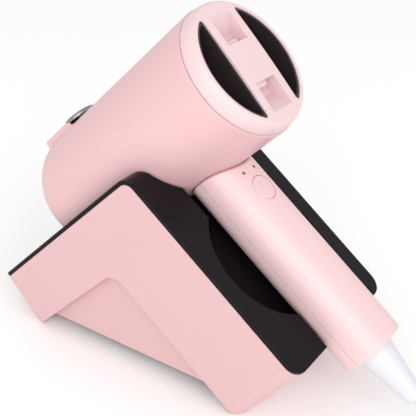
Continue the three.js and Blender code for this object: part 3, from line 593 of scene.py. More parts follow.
FINISHES = {
    "barrel": lambda colours: plastic("SatinPink", colours.barrel_pink, 0.42),
    "stand": lambda colours: plastic("StandPink", colours.stand_pink, 0.42),
    "bezel": lambda colours: plastic("PaleGlossPink", colours.bezel_pink, 0.38, bump=0.12),
    "handle": lambda colours: plastic("HandlePink", colours.handle_pink, 0.42),
    "cradle": lambda colours: plastic("CradleBlack", colours.cradle_black, 0.32, mottle=0.2, bump=0.2,
                                      shine=0.11),
    "liner": lambda colours: plastic("LinerBlack", colours.liner_black, 0.35, mottle=0.2, bump=0.1, shine=0.3),
    "white": lambda colours: plastic("CordWhite", colours.cord_white, 0.40),
    "gunmetal": lambda colours: metal("GunmetalButton", colours.gunmetal, 0.24),
    "steel": lambda colours: metal("DrawnSteel", (0.48, 0.48, 0.50), 0.30),
    "wire": lambda colours: metal("ResistanceWire", (0.30, 0.20, 0.13), 0.35),
    "mica": lambda colours: material("MicaSheet", "FleckedSheet",
                                     {"Colour": (*colours.mica, 1), "Roughness": 0.55}, 0.3, {}),
    "board": lambda colours: material("CircuitBoard", "CircuitTraces", {}, 0.4, {}),
}


def coat(obj, finish):
    """Gives an object one of the finishes as its only material."""
    obj.data.materials.clear()
    obj.data.materials.append(FINISHES[finish](bpy.context.scene.dryer_colours))


# ---------- stage ----------
CAMERA_PLACE = (0.2270, -0.3761, 0.3355)
CAMERA_RIGHT = (0.8334, 0.5515, 0.0353)
CAMERA_UP = (-0.2910, 0.3837, 0.8764)
CAMERA_LENS = 75.1
LAMP_SIZE = 1.5
LAMP_AIM = (0, 0, 0.1)
LAMPS = (("Front", (0.9, -1.6, 1.2), 10.4), ("Right", (1.7, -0.9, 1.1), 12.5), ("Low", (0.2, -2.0, 0.5), 7.6))
SKY_STRENGTH = 0.88


def floor_grid():
    """Flat square, six metres wide, at the height of the feet."""
    side = np.linspace(-3, 3, 5)
    x, y = np.meshgrid(side, side, indexing="ij")
    return columns(x, y, 0.0)


def soft_lamp(name, place, power):
    """Square area lamp that faces the middle of the object."""
    lamp = bpy.data.lights.new(name, "AREA")
    lamp.size = LAMP_SIZE
    lamp.energy = power
    obj = bpy.data.objects.new(name, lamp)
    obj.location = place
    aim = Vector(LAMP_AIM) - obj.location
    obj.rotation_euler = aim.to_track_quat("-Z", "Y").to_euler()
    bpy.context.scene.collection.objects.link(obj)


class DRYER_OT_stage(bpy.types.Operator):
    """Camera, pale floor and soft lights"""

    bl_idname = "dryer.stage"
    bl_label = "Stage"

    def execute(self, context):
        scene = context.scene
        camera = bpy.data.objects.new("Camera", bpy.data.cameras.new("Camera"))
        scene.collection.objects.link(camera)
        right, up = np.array(CAMERA_RIGHT), np.array(CAMERA_UP)
        turn = Matrix(columns(right, up, np.cross(right, up)).tolist()).to_4x4()
        camera.matrix_world = Matrix.Translation(CAMERA_PLACE) @ turn
        camera.data.lens = CAMERA_LENS
        camera.data.sensor_width = 36
        camera.data.clip_start = 0.01
        scene.camera = camera
        scene.view_settings.view_transform = "Standard"

        floor = surface("Floor", floor_grid(), wrap_cols=False)
        smooth(floor)
        floor.data.materials.append(plastic("PaleFloor", (0.97, 0.97, 0.97), 0.8, mottle=0.0, bump=0.0))

        world = bpy.data.worlds.new("SoftWhite")
        world.use_nodes = True
        sky = world.node_tree
        fill(sky, sky.nodes["Background"], {"Color": (1, 1, 1, 1), "Strength": SKY_STRENGTH})
        scene.world = world
        for name, place, power in LAMPS:
            soft_lamp(name, place, power)
        return {"FINISHED"}


# ---------- lead, coil, tie and plug ----------
def smooth_route(points, step=0.004):
    """Centripetal Catmull-Rom curve through the points, sampled at an even step."""
    points = np.asarray(points, float)
    ends = np.concatenate([[2 * points[0] - points[1]], points, [2 * points[-1] - points[-2]]])
    samples = []
    for level in zip(ends[:-3], ends[1:-2], ends[2:-1], ends[3:]):
        knots = np.cumsum([0, *np.linalg.norm(np.diff(level, axis=0), axis=1) ** 0.5])
        t = np.linspace(knots[1], knots[2], 12, endpoint=False)[:, None]
        for first, span in ((0, 1), (0, 2), (1, 1)):
            level = [(a * (knots[i + span] - t) + b * (t - knots[i])) / (knots[i + span] - knots[i])
                     for i, (a, b) in enumerate(zip(level, level[1:]), first)]
        samples.append(level[0])
    line = np.concatenate(samples + [points[-1:]])
    along = np.concatenate([[0], np.cumsum(np.linalg.norm(np.diff(line, axis=0), axis=1))])
    even = np.linspace(0, along[-1], max(int(along[-1] / step), 2) + 1)
    return np.column_stack([np.interp(even, along, line[:, k]) for k in range(3)])


def coil_route(diameter):
    """Turns of the coil: three spiral in on the table, one climbs at the middle, and the rest step out on top.

    The radius falls one diameter a turn on the lower layer. The climb's height is one diameter times
    1 - (1 - t) cubed, so the cord rolls over its neighbour. On the upper layer the radius grows by one
    smooth step of a diameter in each turn, and the height stays.
    """
    lower, climb, upper = 3.0, 1.0, 2.75
    turn = np.linspace(0, lower + climb + upper, 360)
    on_top = turn - lower - climb
    radius = np.maximum(COIL_OUTER_TURN - diameter * turn, COIL_INNER_TURN)
    radius = radius + diameter * sum(smooth_step((on_top - k + 0.3) / 0.45) for k in range(3))
    rise = np.clip((turn - lower + 0.1) / (climb + 0.1), 0, 1)
    height = COIL_LOW + diameter * (1 - (1 - rise) ** 3)
    angle = -np.pi / 2 + 2 * np.pi * turn
    x, y = COIL_CENTRE[0] + radius * np.cos(angle), COIL_CENTRE[1] + radius * np.sin(angle)
    return columns(x, y, height) * MM


def tube_along(name, path, radius, sides=14):
    """Round tube on a path: a circle across each step, with one side kept level."""
    path = np.asarray(path, float)
    ahead = np.gradient(path, axis=0)
    ahead /= np.linalg.norm(ahead, axis=1)[:, None]
    side = np.cross([0.0, 0.0, 1.0], ahead)
    side /= np.linalg.norm(side, axis=1)[:, None]
    up = np.cross(ahead, side)
    angle = circle(sides)[None, :, None]
    ring = side[:, None] * np.cos(angle) + up[:, None] * np.sin(angle)
    rings = path[:, None] + radius * ring
    closed = np.concatenate([np.repeat(path[:1, None], sides, 1), rings, np.repeat(path[-1:, None], sides, 1)])
    return surface(name, closed)


def cord_tie():
    """Strap: a rounded rectangle round the coil's section."""
    low, high = np.array(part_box("cord_tie")) / MM
    section = np.array([low, high])[:, [0, 2]]
    tie = prism("CordTie", "y", rectangle(*section, TIE_CORNER), low[1], high[1], TABLE)
    inner = rectangle(section[0] + TIE_THICK, section[1] - TIE_THICK, TIE_CORNER - TIE_THICK)
    combine(tie, [prism("Inside", "y", inner, low[1] - 1, high[1] + 1, TABLE)])
    soften_edges(tie, SMALL_EDGE * MM, 2)
    return finish_piece(tie, "stand", "white", "white_plastic", "cord_tie")


class DRYER_OT_cord(bpy.types.Operator):
    """Lead from the boot to the plug, wound in a neat coil, and the tie that holds it"""

    bl_idname = "dryer.cord"
    bl_label = "Lead and coil"

    def execute(self, context):
        sizes = context.scene.dryer_sizes
        diameter = sizes.cord_diameter
        start = smooth_route(LEAD_ROUTE)
        end = smooth_route(TAIL_ROUTE)
        path = smooth_route(np.concatenate([start[:-1], coil_route(diameter / MM), end[1:]]), 0.0025)
        cord = tube_along("Cord", path, diameter / 2 * 0.995)
        smooth(cord, 60)
        finish_piece(cord, None, "white", "white_cord", "cord_lead", "cord_coil", "cord_tail")
        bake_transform(cord)
        on_cord = [cord_tie(), "PlugBody", "PlugBlade1", "PlugBlade2"]
        return {"FINISHED"}


def plug_body():
    """Superellipse sections along the plug: the neck swells by a smooth step into the flat body."""
    length = PLUG["neck"] + PLUG["length"]
    t = np.concatenate([[0], 0.02 * (1 - np.cos(quarter(5))), np.linspace(0.03, 0.96, 40),
                        0.96 + 0.04 * np.sin(quarter(6))[1:], [1]])
    swell = smooth_step((t * length - PLUG["neck"] * 0.7) / 9)
    grip = 1 - 0.10 * np.exp(-(((t * length - 25) / 5) ** 2))
    fade = np.minimum(1, np.sqrt(np.clip(1 - ((t - 0.96) / 0.04).clip(0, 1) ** 2, 0, 1)) * 0.18 + 0.82)
    round_in = np.where(t < 0.02, 0.85 + 0.15 * np.sqrt(np.clip(1 - (1 - t / 0.02) ** 2, 0, 1)), 1.0)
    half_y = (4.0 + (PLUG["width"] / 2 - 4.0) * swell) * grip * fade * round_in
    half_z = (4.0 + (PLUG["thick"] / 2 - 4.0) * swell) * fade * round_in
    half_y[[0, -1]] = half_z[[0, -1]] = 0
    y, z = superellipse(circle(64), half_y[:, None], half_z[:, None], 2 + 1.6 * swell[:, None])
    x = (PLUG["x"] + CLEAR + t * length)[:, None]
    plug = surface("PlugBody", TABLE(columns(x, y + PLUG["y"], z + PLUG["z"])))
    smooth(plug)
    return plug


def plug_blade(number):
    """Flat blade with a rounded tip and one round hole."""
    low, high = np.array(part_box(f"plug_blade_{number}")) / MM
    outline = rectangle(low[[0, 2]], high[[0, 2]], 0, 1.5)
    blade = prism(f"PlugBlade{number}", "y", outline, low[1], high[1], TABLE)
    middle = (high[0] - 4, (low[2] + high[2]) / 2)
    combine(blade, [rod("Hole", middle, "y", low[1] - 1, high[1] + 1, 1.5, TABLE, 32)])
    soften_edges(blade, SMALL_EDGE * MM, 2)
    finish_piece(blade, "stand", "steel", "steel", f"plug_blade_{number}")


class DRYER_OT_plug(bpy.types.Operator):
    """Two-blade plug at the lead's far end"""

    bl_idname = "dryer.plug"
    bl_label = "Plug"

    def execute(self, context):
        finish_piece(plug_body(), "stand", "white", "white_plastic", "plug_body")
        for number in (1, 2):
            plug_blade(number)
        return {"FINISHED"}


# ---------- barrel ----------
def dome(offset, rim_radius, steps, start_radius=None):
    """Quarter ellipse of the rear dome, grown by an offset, from a start radius in to a rim radius."""
    sizes = bpy.context.scene.dryer_sizes
    depth, radius = sizes.dome_depth / MM + offset, sizes.barrel_radius / MM + offset
    start_radius = radius if start_radius is None else start_radius
    angle = np.linspace(math.acos(start_radius / radius), math.acos(rim_radius / radius), steps)
    return columns(DOME_X - depth * np.sin(angle), radius * np.cos(angle))


def barrel_wall(radius):
    """Outer and inner skin, revolved, with the pad as a smooth step of the outer radius.

    The step goes by the distance inside the pad's outline, and the pad's top keeps to one crown radius.
    """
    straight = np.concatenate([np.linspace(SEAM_X - 0.4, -44, 50), np.linspace(-45, DOME_X, 60)[:-1]])
    edge = quarter(5)
    lip = columns(SEAM_X - 0.4 + 0.4 * np.cos(edge), radius - 0.4 + 0.4 * np.sin(edge))
    back = dome(0, INLET_R + CLEAR, 70)
    outer = np.concatenate([lip[:-1], columns(straight, radius), back])
    inner_dome = dome(-WALL, INLET_R + CLEAR, 20)[::-1]
    inner = np.concatenate([inner_dome, [[SEAM_X, radius - WALL]]])
    near = np.linspace(-0.42, 0.42, 90)
    far = np.linspace(0.42, 2 * np.pi - 0.42, 132)[1:-1]
    angle = np.concatenate([near, far])
    profile = np.concatenate([outer, inner])
    x, r = profile[:, :1], profile[:, 1:]
    across = r * np.sin(angle)
    corner = 5.0
    over_x = (PAD_REAR_X + corner) - x
    over_y = np.abs(across) - (PAD_HALF - corner)
    gap = np.hypot(over_x.clip(0), over_y.clip(0)) + np.minimum(np.maximum(over_x, over_y), 0) - corner
    step = smooth_step(-gap / 2.6 + 0.15) * smooth_step((MODE_X + 1 - x) / 1.0) * (np.cos(angle) > 0)
    step[len(outer):] = 0
    crown = radius + PAD_HEIGHT
    r = r + (crown - r) * step
    return BARREL(columns(x, r * np.sin(angle), r * np.cos(angle)))


def handle_neck(sizes):
    """Hollow stub inside the handle: superellipse rings down its outside and back up its inside."""
    angle = circle(96)
    rings = []
    for shrink, ends in ((WALL + CLEAR, (36.0, NECK_END)), (2 * WALL + CLEAR, (NECK_END, 36.0))):
        x, y = superellipse(angle, sizes.handle_half_depth / MM - shrink, sizes.handle_half_width / MM - shrink,
                            sizes.handle_power)
        rings += [columns(x, y, -down) for down in ends]
    neck = surface("Neck", HANDLE(np.stack(rings)), wrap_rows=True)
    smooth(neck, 40)
    return neck


class DRYER_OT_barrel(bpy.types.Operator):
    """Barrel housing with its rear dome, the raised pad behind the button, and the handle's neck"""

    bl_idname = "dryer.barrel"
    bl_label = "Barrel housing"

    def execute(self, context):
        sizes = context.scene.dryer_sizes
        radius = sizes.barrel_radius / MM
        barrel = surface("BarrelHousing", barrel_wall(radius), wrap_rows=True)
        pocket = rod("Pocket", (MODE_X, 0), "z", radius - MODE_POCKET, radius + 9,
                     sizes.mode_button_radius / MM + 0.3, BARREL, 96)
        stem_hole = rod("StemHole", (MODE_X, 0), "z", radius - 9, radius + 9, 3.0, BARREL, 32)
        combine(barrel, [pocket, stem_hole])
        smooth(barrel, 40)
        join(barrel, [handle_neck(sizes)])
        finish_piece(barrel, "dryer", "barrel", "pink_shell", "barrel_housing")
        return {"FINISHED"}


def d_outline(side, radius, chord, corner, steps=48):
    """Outlet half: an arc, a straight chord and two corner arcs of a fixed radius, in Y and Z."""
    reach = math.acos((chord + corner) / (radius - corner))
    height = (radius - corner) * math.sin(reach)
    arc = np.linspace(-reach, reach, steps)
    turn = np.linspace(reach, np.pi, 12)
    parts = [
        columns(radius * np.cos(arc), radius * np.sin(arc)),
        columns(chord + corner + corner * np.cos(turn), height + corner * np.sin(turn)),
        columns(chord + corner + corner * np.cos(turn[::-1]), -height - corner * np.sin(turn[::-1])),
    ]
    return np.concatenate(parts) * (side, 1)


def front_rim(places):
    """One on the liner's front face, none behind it."""
    return (BARREL.local(places)[:, 0] > FACE_X - 0.7).astype(float)


def outlet_ring(radius, sides):
    """Revolved body: quarter-ellipse shoulder, face that bulges by a millimetre, and a spigot behind."""
    t = quarter(16)
    seam = SEAM_X + CLEAR
    shoulder = columns(FACE_X - (FACE_X - seam) * (1 - np.sin(t)), FACE_R + (radius - 0.7 - FACE_R) * np.cos(t))
    r = np.linspace(FACE_R, 0, 16)[1:]
    face = columns(FACE_X + (1 - (r / FACE_R) ** 2), r)
    spigot_x, outer, inner = SEAM_X - SPIGOT_LENGTH, radius - WALL - CLEAR, OUTLET_R + 0.4
    behind = [[BAR_BACK_X, 0], [BAR_BACK_X, inner], [spigot_x, inner], [spigot_x, outer], [seam, outer]]
    ring = turned("OutletRing", np.concatenate([behind, shoulder, face]), BARREL, sides)
    for side in (-1, 1):
        half = prism("Half", "x", d_outline(side, OUTLET_R, BAR_HALF, 2.0), spigot_x - 1, FACE_X + 5, BARREL)
        deep = FACE_X - SOCKET_DEPTH
        wedge = np.array([[FACE_X + 3, SOCKET_IN], [deep, SOCKET_IN], [deep, SOCKET_IN + 7],
                          [FACE_X, SOCKET_OUT], [FACE_X + 3, SOCKET_OUT]]) * (1, side)
        socket_cut = prism("Socket", "y", wedge, -SOCKET_HALF, SOCKET_HALF, BARREL)
        combine(ring, [half, socket_cut])
        near, far = sorted((side * (SOCKET_IN - 1), side * (SOCKET_IN + 2.6)))
        low, high = (deep - 1, -SOCKET_HALF - 0.5, near), (FACE_X - 1.5, -SOCKET_HALF + TAB_WIDTH, far)
        combine(ring, [block("Tab", low, high, BARREL)], "UNION")
    return ring


def outlet_liner(sides):
    """Black sleeve with two half-moon openings, thin walls and a round throat behind the bar."""
    outer = OUTLET_R - CLEAR
    liner = rod("OutletLiner", (0, 0), "x", LINER_REAR_X, FACE_X - 0.6, outer, BARREL, sides)
    tools = [prism("Half", "x", d_outline(side, outer - LINER_WALL, BAR_HALF + CLEAR + LINER_WALL, 1.2),
                   LINER_REAR_X - 1, FACE_X + 1, BARREL) for side in (-1, 1)]
    room = BAR_HALF + CLEAR
    tools.append(block("BarRoom", (BAR_BACK_X - CLEAR, -room, -40), (FACE_X + 1, room, 40), BARREL))
    tools.append(rod("Throat", (0, 0), "x", LINER_REAR_X - 1, BAR_BACK_X - CLEAR - LINER_WALL,
                     outer - LINER_WALL, BARREL, sides))
    return combine(liner, tools)


class DRYER_OT_outlet(bpy.types.Operator):
    """Outlet ring with its bar and nozzle sockets, and the black liner behind it"""

    bl_idname = "dryer.outlet"
    bl_label = "Outlet ring and liner"

    def execute(self, context):
        sizes = context.scene.dryer_sizes
        ring = outlet_ring(sizes.barrel_radius / MM, sizes.round_sides)
        soften_edges(ring, sizes.edge_radius * 0.6)
        finish_piece(ring, "dryer", "bezel", "light_pink_ring", "outlet_ring")
        liner = outlet_liner(sizes.round_sides)
        soften_edges(liner, SMALL_EDGE * MM, 2, share=front_rim)
        finish_piece(liner, "dryer", "liner", "black_inner", "outlet_liner")
        return {"FINISHED"}


def inlet_slot(angle, inner):
    """Round-ended slot that points away from the axis, cut straight through along X."""
    ends = rectangle((-SLOT_HALF, inner), (SLOT_HALF, SLOT_END), SLOT_HALF, steps=6)
    cosine, sine = math.cos(angle), math.sin(angle)
    spun = ends @ np.array([[cosine, sine], [-sine, cosine]])
    return prism("Slot", "x", spun, -130, DOME_X - 2, BARREL)


class DRYER_OT_inlet(bpy.types.Operator):
    """Slotted cap over the air inlet in the rear dome"""

    bl_idname = "dryer.inlet"
    bl_label = "Inlet cap"

    def execute(self, context):
        rim_x = dome(0, INLET_R, 2)[-1, 0] + 7
        outer, inner = dome(0, 0, 24, INLET_R), dome(-CAP_SKIN, 0, 24, INLET_R - CAP_SKIN)
        outer[-1, 1] = inner[-1, 1] = 0
        profile = np.concatenate([outer[::-1], [[rim_x, INLET_R], [rim_x, INLET_R - CAP_SKIN]], inner])
        cap = turned("InletCap", profile, BARREL, 128)
        for number, angle in enumerate(circle(INLET_SLOTS)):
            combine(cap, [inlet_slot(angle, SLOT_STARTS[number % 2])])
        smooth(cap, 30)
        finish_piece(cap, "dryer", "barrel", "pink_shell", "inlet_grille")
        return {"FINISHED"}


# ---------- buttons and lights ----------
def mode_button(sizes):
    """Revolved disc: upright side, an edge rounded by a quarter circle and a slightly dished top."""
    barrel, radius = sizes.barrel_radius / MM, sizes.mode_button_radius / MM
    base, top, edge = barrel - MODE_POCKET + 1.5, barrel + PAD_HEIGHT - 0.3, 1.3
    t, r = quarter(8), np.linspace(radius - edge, 0, 12)[1:]
    profile = np.concatenate([
        [[barrel - WALL - 1.6, 0], [barrel - WALL - 1.6, 2.4], [base, 2.4], [base, radius]],
        columns(top - edge + edge * np.sin(t), radius - edge + edge * np.cos(t)),
        columns(top - 0.35 * (1 - (r / (radius - edge)) ** 2), r),
    ])
    button = turned("ModeButton", profile, BARREL, 96, "z", (MODE_X, 0))
    smooth(button, 40)
    finish_piece(button, "mode_key", "gunmetal", "gunmetal", "mode_button")


def power_button(sizes):
    """Disc whose top follows the handle's front: depth times 1 - (y / width) to the power, to 1 over it."""
    radius = sizes.power_button_radius / MM
    depth, width, power = sizes.handle_half_depth / MM, sizes.handle_half_width / MM, sizes.handle_power
    angle, t = circle(96), quarter(6)
    reach = np.concatenate([radius - 0.3 + 0.3 * np.cos(t), np.linspace(radius - 0.3, 0, 12)[1:]])
    sink = np.concatenate([0.3 * (1 - np.sin(t)), np.zeros(11)])
    y = reach[:, None] * np.sin(angle)
    down = BUTTON_S + reach[:, None] * np.cos(angle)
    front = depth * (1 - np.abs(y / width) ** power) ** (1 / power) - sink[:, None] - 0.08
    skirt = columns(BUTTON_BACK, y[0], -down[0])
    stem = [columns(x, r * np.sin(angle), -BUTTON_S - r * np.cos(angle))
            for x, r in ((STEM_BACK, 0), (STEM_BACK, STEM_R), (BUTTON_BACK, STEM_R))]
    grid = np.stack([*stem, skirt, *columns(front, y, -down)])
    button = surface("PowerButton", HANDLE(grid))
    smooth(button, 40)
    finish_piece(button, "power_key", "handle", "handle_pink", "power_button")


def indicator_light(sizes, name, side):
    """Small dark lens: a revolved pin with a domed end, just under the handle's skin."""
    depth = sizes.handle_half_depth / MM
    t = quarter(6)
    profile = np.concatenate([[[depth - 5, 0], [depth - 5, LIGHT_R]],
                              columns(depth - 1.0 + 0.35 * np.sin(t), LIGHT_R * np.cos(t))])
    lens = turned(f"IndicatorLight{name.capitalize()}", profile, HANDLE, 32, "x", (side * LIGHT_Y, -LIGHT_S))
    smooth(lens, 50)
    finish_piece(lens, "dryer", "liner", "black_inner", f"indicator_light_{name}")


class DRYER_OT_buttons(bpy.types.Operator):
    """Round mode button on the barrel, power button and indicator lights on the handle"""

    bl_idname = "dryer.buttons"
    bl_label = "Buttons and lights"

    def execute(self, context):
        sizes = context.scene.dryer_sizes
        mode_button(sizes)
        power_button(sizes)
        for name, side in (("left", -1), ("right", 1)):
            indicator_light(sizes, name, side)
        return {"FINISHED"}


# ---------- handle ----------
def handle_shell(name, sizes, angle):
    """Wall between two superellipse skins, saddled onto the barrel at the top, with a flat end round the boot.

    The top edge lies where the skin meets a cylinder just larger than the barrel. Both outer edges
    are quarter circles. The flat end runs from the section in to the boot's hole by straight mixing.
    """
    power = sizes.handle_power
    half_x, half_y = sizes.handle_half_depth / MM, sizes.handle_half_width / MM
    saddle = sizes.barrel_radius / MM + 2 * CLEAR
    top_edge, end_edge = 1.8, 1.0

    def section(inset):
        return superellipse(angle, half_x - inset, half_y - inset, power)

    def top_of(x, y):
        level = np.sqrt(saddle**2 - y**2)
        return (x * math.sin(HANDLE_TILT) + level) / math.cos(HANDLE_TILT)

    outer, inner = [], []
    in_x, in_y = section(WALL)
    floor = HANDLE_END - END_WALL
    for t in quarter(7):
        x, y = section(top_edge * (1 - math.sin(t)))
        outer.append((x, y, top_of(x, y) + top_edge * (1 - math.cos(t))))
        inner.append((in_x, in_y, top_of(in_x, in_y) + 0.02 * t))
    x, y = section(0)
    top = top_of(x, y) + top_edge
    for t in np.linspace(0, 1, 44)[1:-1]:
        down = top + (HANDLE_END - end_edge - top) * t
        outer.append((x, y, down))
        inner.append((in_x, in_y, np.minimum(down, floor - 0.5 + 0.1 * t)))
    for t in quarter(7):
        x, y = section(end_edge * (1 - math.cos(t)))
        outer.append((x, y, HANDLE_END - end_edge * (1 - math.sin(t))))
        inner.append((in_x, in_y, floor - 0.3 + 0.19 * t))
    turn = np.arctan2(y, x)
    hole_x, hole_y = (BOOT_NECK + CLEAR) * np.cos(turn), (BOOT_NECK + CLEAR) * np.sin(turn)
    for t in np.linspace(0, 1, 6)[1:]:
        outer.append((x + (hole_x - x) * t, y + (hole_y - y) * t, HANDLE_END))
        inner.append((in_x + (hole_x - in_x) * t, in_y + (hole_y - in_y) * t, floor))
    grids = [HANDLE(np.stack([columns(x, y, -down) for x, y, down in rows])) for rows in (outer, inner)]
    return thick_sheet(name, *grids)


def strain_relief():
    """Revolved boot: a flange inside the handle, a rounded base and a long taper with a soft end."""
    inside, outside = -HANDLE_END + END_WALL + CLEAR, -HANDLE_END - CLEAR
    tip = outside - BOOT_LENGTH
    t = np.linspace(0, 1, 24)
    taper = BOOT_R - (BOOT_R - BOOT_TIP_R) * (0.92 * t + 0.08 * smooth_step(t))
    edge = quarter(6)
    profile = np.concatenate([
        [[inside + 2.5, 0], [inside + 2.5, FLANGE_R], [inside, FLANGE_R], [inside, BOOT_NECK],
         [outside, BOOT_NECK]],
        columns(outside - 0.5 * np.sin(edge), BOOT_R - 0.5 + 0.5 * np.sin(edge)),
        columns(outside - 0.6 + (tip + 1.5 - outside) * t, taper),
        columns(tip + 0.9 * (1 - np.sin(edge)), BOOT_TIP_R - 0.9 * (1 - np.cos(edge))),
        [[tip, 3.0], [tip, 0]],
    ])
    boot = turned("StrainRelief", profile, HANDLE, 64, "z")
    smooth(boot, 40)
    finish_piece(boot, "dryer", "white", "white_plastic", "strain_relief")


class DRYER_OT_handle(bpy.types.Operator):
    """Front and rear shell of the handle, and the strain relief at its end"""

    bl_idname = "dryer.handle"
    bl_label = "Handle"

    def execute(self, context):
        sizes = context.scene.dryer_sizes
        power = sizes.handle_power
        depth = sizes.handle_half_depth / MM
        seam = [math.acos(-((-HANDLE_SEAM_X + sign * CLEAR / 2) / depth) ** (power / 2)) for sign in (-1, 1)]
        front = handle_shell("HandleFrontShell", sizes, np.linspace(-seam[0], seam[0], 120))
        button = sizes.power_button_radius / MM + CLEAR
        holes = [rod("ButtonHole", (0, -BUTTON_S), "x", 5, 30, button, HANDLE, 96)]
        holes += [rod("LightHole", (side * LIGHT_Y, -LIGHT_S), "x", 5, 30, LIGHT_R + 0.1, HANDLE, 32)
                  for side in (-1, 1)]
        combine(front, holes)
        rear = handle_shell("HandleRearShell", sizes, np.linspace(seam[1], 2 * np.pi - seam[1], 120))
        combine(rear, [rod("ScrewHole", (0, -s), "x", -30, 0, 3.0, HANDLE, 40) for s in SCREW_STATIONS])
        for shell, node in ((front, "handle_front_shell"), (rear, "handle_rear_shell")):
            smooth(shell, 40)
            finish_piece(shell, "dryer", "handle", "handle_pink", node)
        strain_relief()
        return {"FINISHED"}


# ---------- stand ----------
def handle_point(front, down):
    """A point of the handle's side view, as X and Z of the barrel's frame."""
    return BARREL.local(HANDLE((front, 0, -down)))[[0, 2]]


def leg_meets(front, level):
    """Where a face of the leg, at its distance in front of the handle's axis, crosses a level of the arm."""
    return (front / math.cos(HANDLE_TILT) - level * math.tan(HANDLE_TILT), level)


def chevron(top=0.0, under=0.0, ends=0.0):
    """Side outline of the stand, pulled in from its top, under and end faces by their own amounts."""
    arm_top, leg_top = -ARM_DROP - top, -LEG_SET - top
    arm_under, leg_under = -ARM_DROP - ARM_DEPTH + under, -LEG_SET - LEG_DEPTH + under
    foot = max(FOOT_R - under, 0.6)
    return rounded([
        (-ARM_END + ends, arm_top, 0),
        (-ARM_END + ends, arm_under, foot),
        (*leg_meets(leg_under, arm_under), INNER_R + under),
        (*handle_point(leg_under, LEG_END - ends), foot),
        (*handle_point(leg_top, LEG_END - ends), 0),
        (*leg_meets(leg_top, arm_top), max(APEX_R - top, 0.6)),
    ], 16)


def stand_block(name, outline, inset):
    """Outline extruded across the stand, with the plan corners of both its ends rounded."""
    half = bpy.context.scene.dryer_sizes.stand_half_width / MM - inset
    corner = max(CORNER_R - inset, 1.0)
    arm = rounded([(90, half, 0), (-ARM_END + inset, half, corner), (-ARM_END + inset, -half, corner),
                   (90, -half, 0)], 16)
    leg = rounded([(half, 90, 0), (half, -LEG_END + inset, corner), (-half, -LEG_END + inset, corner),
                   (-half, 90, 0)], 16)
    limits = [prism("ArmPlan", "z", arm, -260, 60, BARREL), prism("LegPlan", "x", leg, -260, 90, HANDLE)]
    return combine(prism(name, "y", outline, -half, half, BARREL), limits, "INTERSECT")


def dryer_room(grow):
    """Room of the dryer in its cradle, grown by an offset: barrel and dome, handle groove, neck, finger recess."""
    sizes = bpy.context.scene.dryer_sizes
    gap = TROUGH_GAP + grow
    radius = sizes.barrel_radius / MM + gap
    profile = np.concatenate([[[SEAM_X + 40, 0], [SEAM_X + 40, radius]], dome(gap, 0.0, 40)])
    room = turned("DryerRoom", profile, BARREL, sizes.round_sides)
    floor = -sizes.handle_half_depth / MM - gap
    tools = []
    for half, end in ((sizes.handle_half_width / MM + gap, LEG_END + 5), (NECK_GROOVE + grow, FINGER_S - 10)):
        outline = rounded([(40, -half, 0), (40, half, 0), (floor, half, 8 + grow), (floor, -half, 8 + grow)], 12)
        tools.append(prism("Groove", "z", outline, -end, 0, HANDLE))
    tools.append(rod("FingerRecess", (0, -FINGER_S), "x", FINGER_FLOOR - grow, 40, FINGER_R + grow, HANDLE,
                     sizes.round_sides))
    return combine(room, tools, "UNION")


SCREW_PLACES = [(BARREL, -ARM_END + 13, -40), (BARREL, -ARM_END + 13, 40), (HANDLE, LEG_END - 9, -38),
                (HANDLE, LEG_END - 9, 38)]


def at_screw(place, start, end, radius):
    """Bar square to the cradle face at a screw, between two depths under that face."""
    where, along, y = place
    if where is BARREL:
        return rod("Screw", (along, y), "z", -ARM_DROP - end, -ARM_DROP - start, radius, BARREL, 32)
    return rod("Screw", (y, -along), "x", -LEG_SET - end, -LEG_SET - start, radius, HANDLE, 32)


def screw_depth(place):
    """Depth of the stand's underside at a screw, under its cradle face."""
    return ARM_DEPTH if place[0] is BARREL else LEG_DEPTH


def above_table(height):
    """Everything over a height above the table."""
    return block("AboveTable", (-400, -200, height), (400, 200, 400), TABLE)


class DRYER_OT_stand(bpy.types.Operator):
    """Pink shell of the stand, with recessed webs in its inner corner"""

    bl_idname = "dryer.stand"
    bl_label = "Stand shell"

    def execute(self, context):
        sizes = context.scene.dryer_sizes
        lip = sizes.plate_thickness / MM + CLEAR
        shell = stand_block("StandShell", chevron(top=lip), 0)
        combine(shell, [stand_block("Inside", chevron(lip - 3, SHELL_WALL, SHELL_WALL), SHELL_WALL)])
        half = sizes.stand_half_width / MM
        under = -ARM_DROP - ARM_DEPTH + 1
        corner = [(-ARM_END, under), leg_meets(-LEG_SET - LEG_DEPTH + 1, under),
                  handle_point(-LEG_SET - LEG_DEPTH + 1, LEG_END)]
        for side in (-1, 1):
            faces = sorted((side * (half - WEB_INSET), side * (half - WEB_INSET - WEB_THICK)))
            web = prism("Web", "y", corner, *faces, BARREL)
            combine(web, [above_table(WEB_GROUND)], "INTERSECT")
            combine(web, [stand_block("Stand", chevron(-20, 1, -5), -5)])
            combine(shell, [web], "UNION")
        combine(shell, [dryer_room(TROUGH_WALL + CLEAR)])
        combine(shell, [at_screw(place, screw_depth(place) - SHELL_WALL - 2, screw_depth(place) + 2, 1.8)
                        for place in SCREW_PLACES])
        combine(shell, [above_table(0)], "INTERSECT")
        soften_edges(shell, sizes.edge_radius)
        finish_piece(shell, "stand", "stand", "pink_shell", "stand_shell")
        return {"FINISHED"}


def cradle_top_edges(places):
    """One round the outside of the top faces and on the leg's openings, none along the barrel's trough."""
    arm, leg = BARREL.local(places), HANDLE.local(places)
    on_arm, on_leg = np.abs(arm[:, 2] + ARM_DROP) < 0.1, np.abs(leg[:, 0] + LEG_SET) < 0.1
    along_trough = (np.abs(arm[:, 1]) < TROUGH_REACH_Y) & (arm[:, 0] > TROUGH_REACH_X)
    return ((on_arm | on_leg) & ~(on_arm & along_trough)).astype(float)


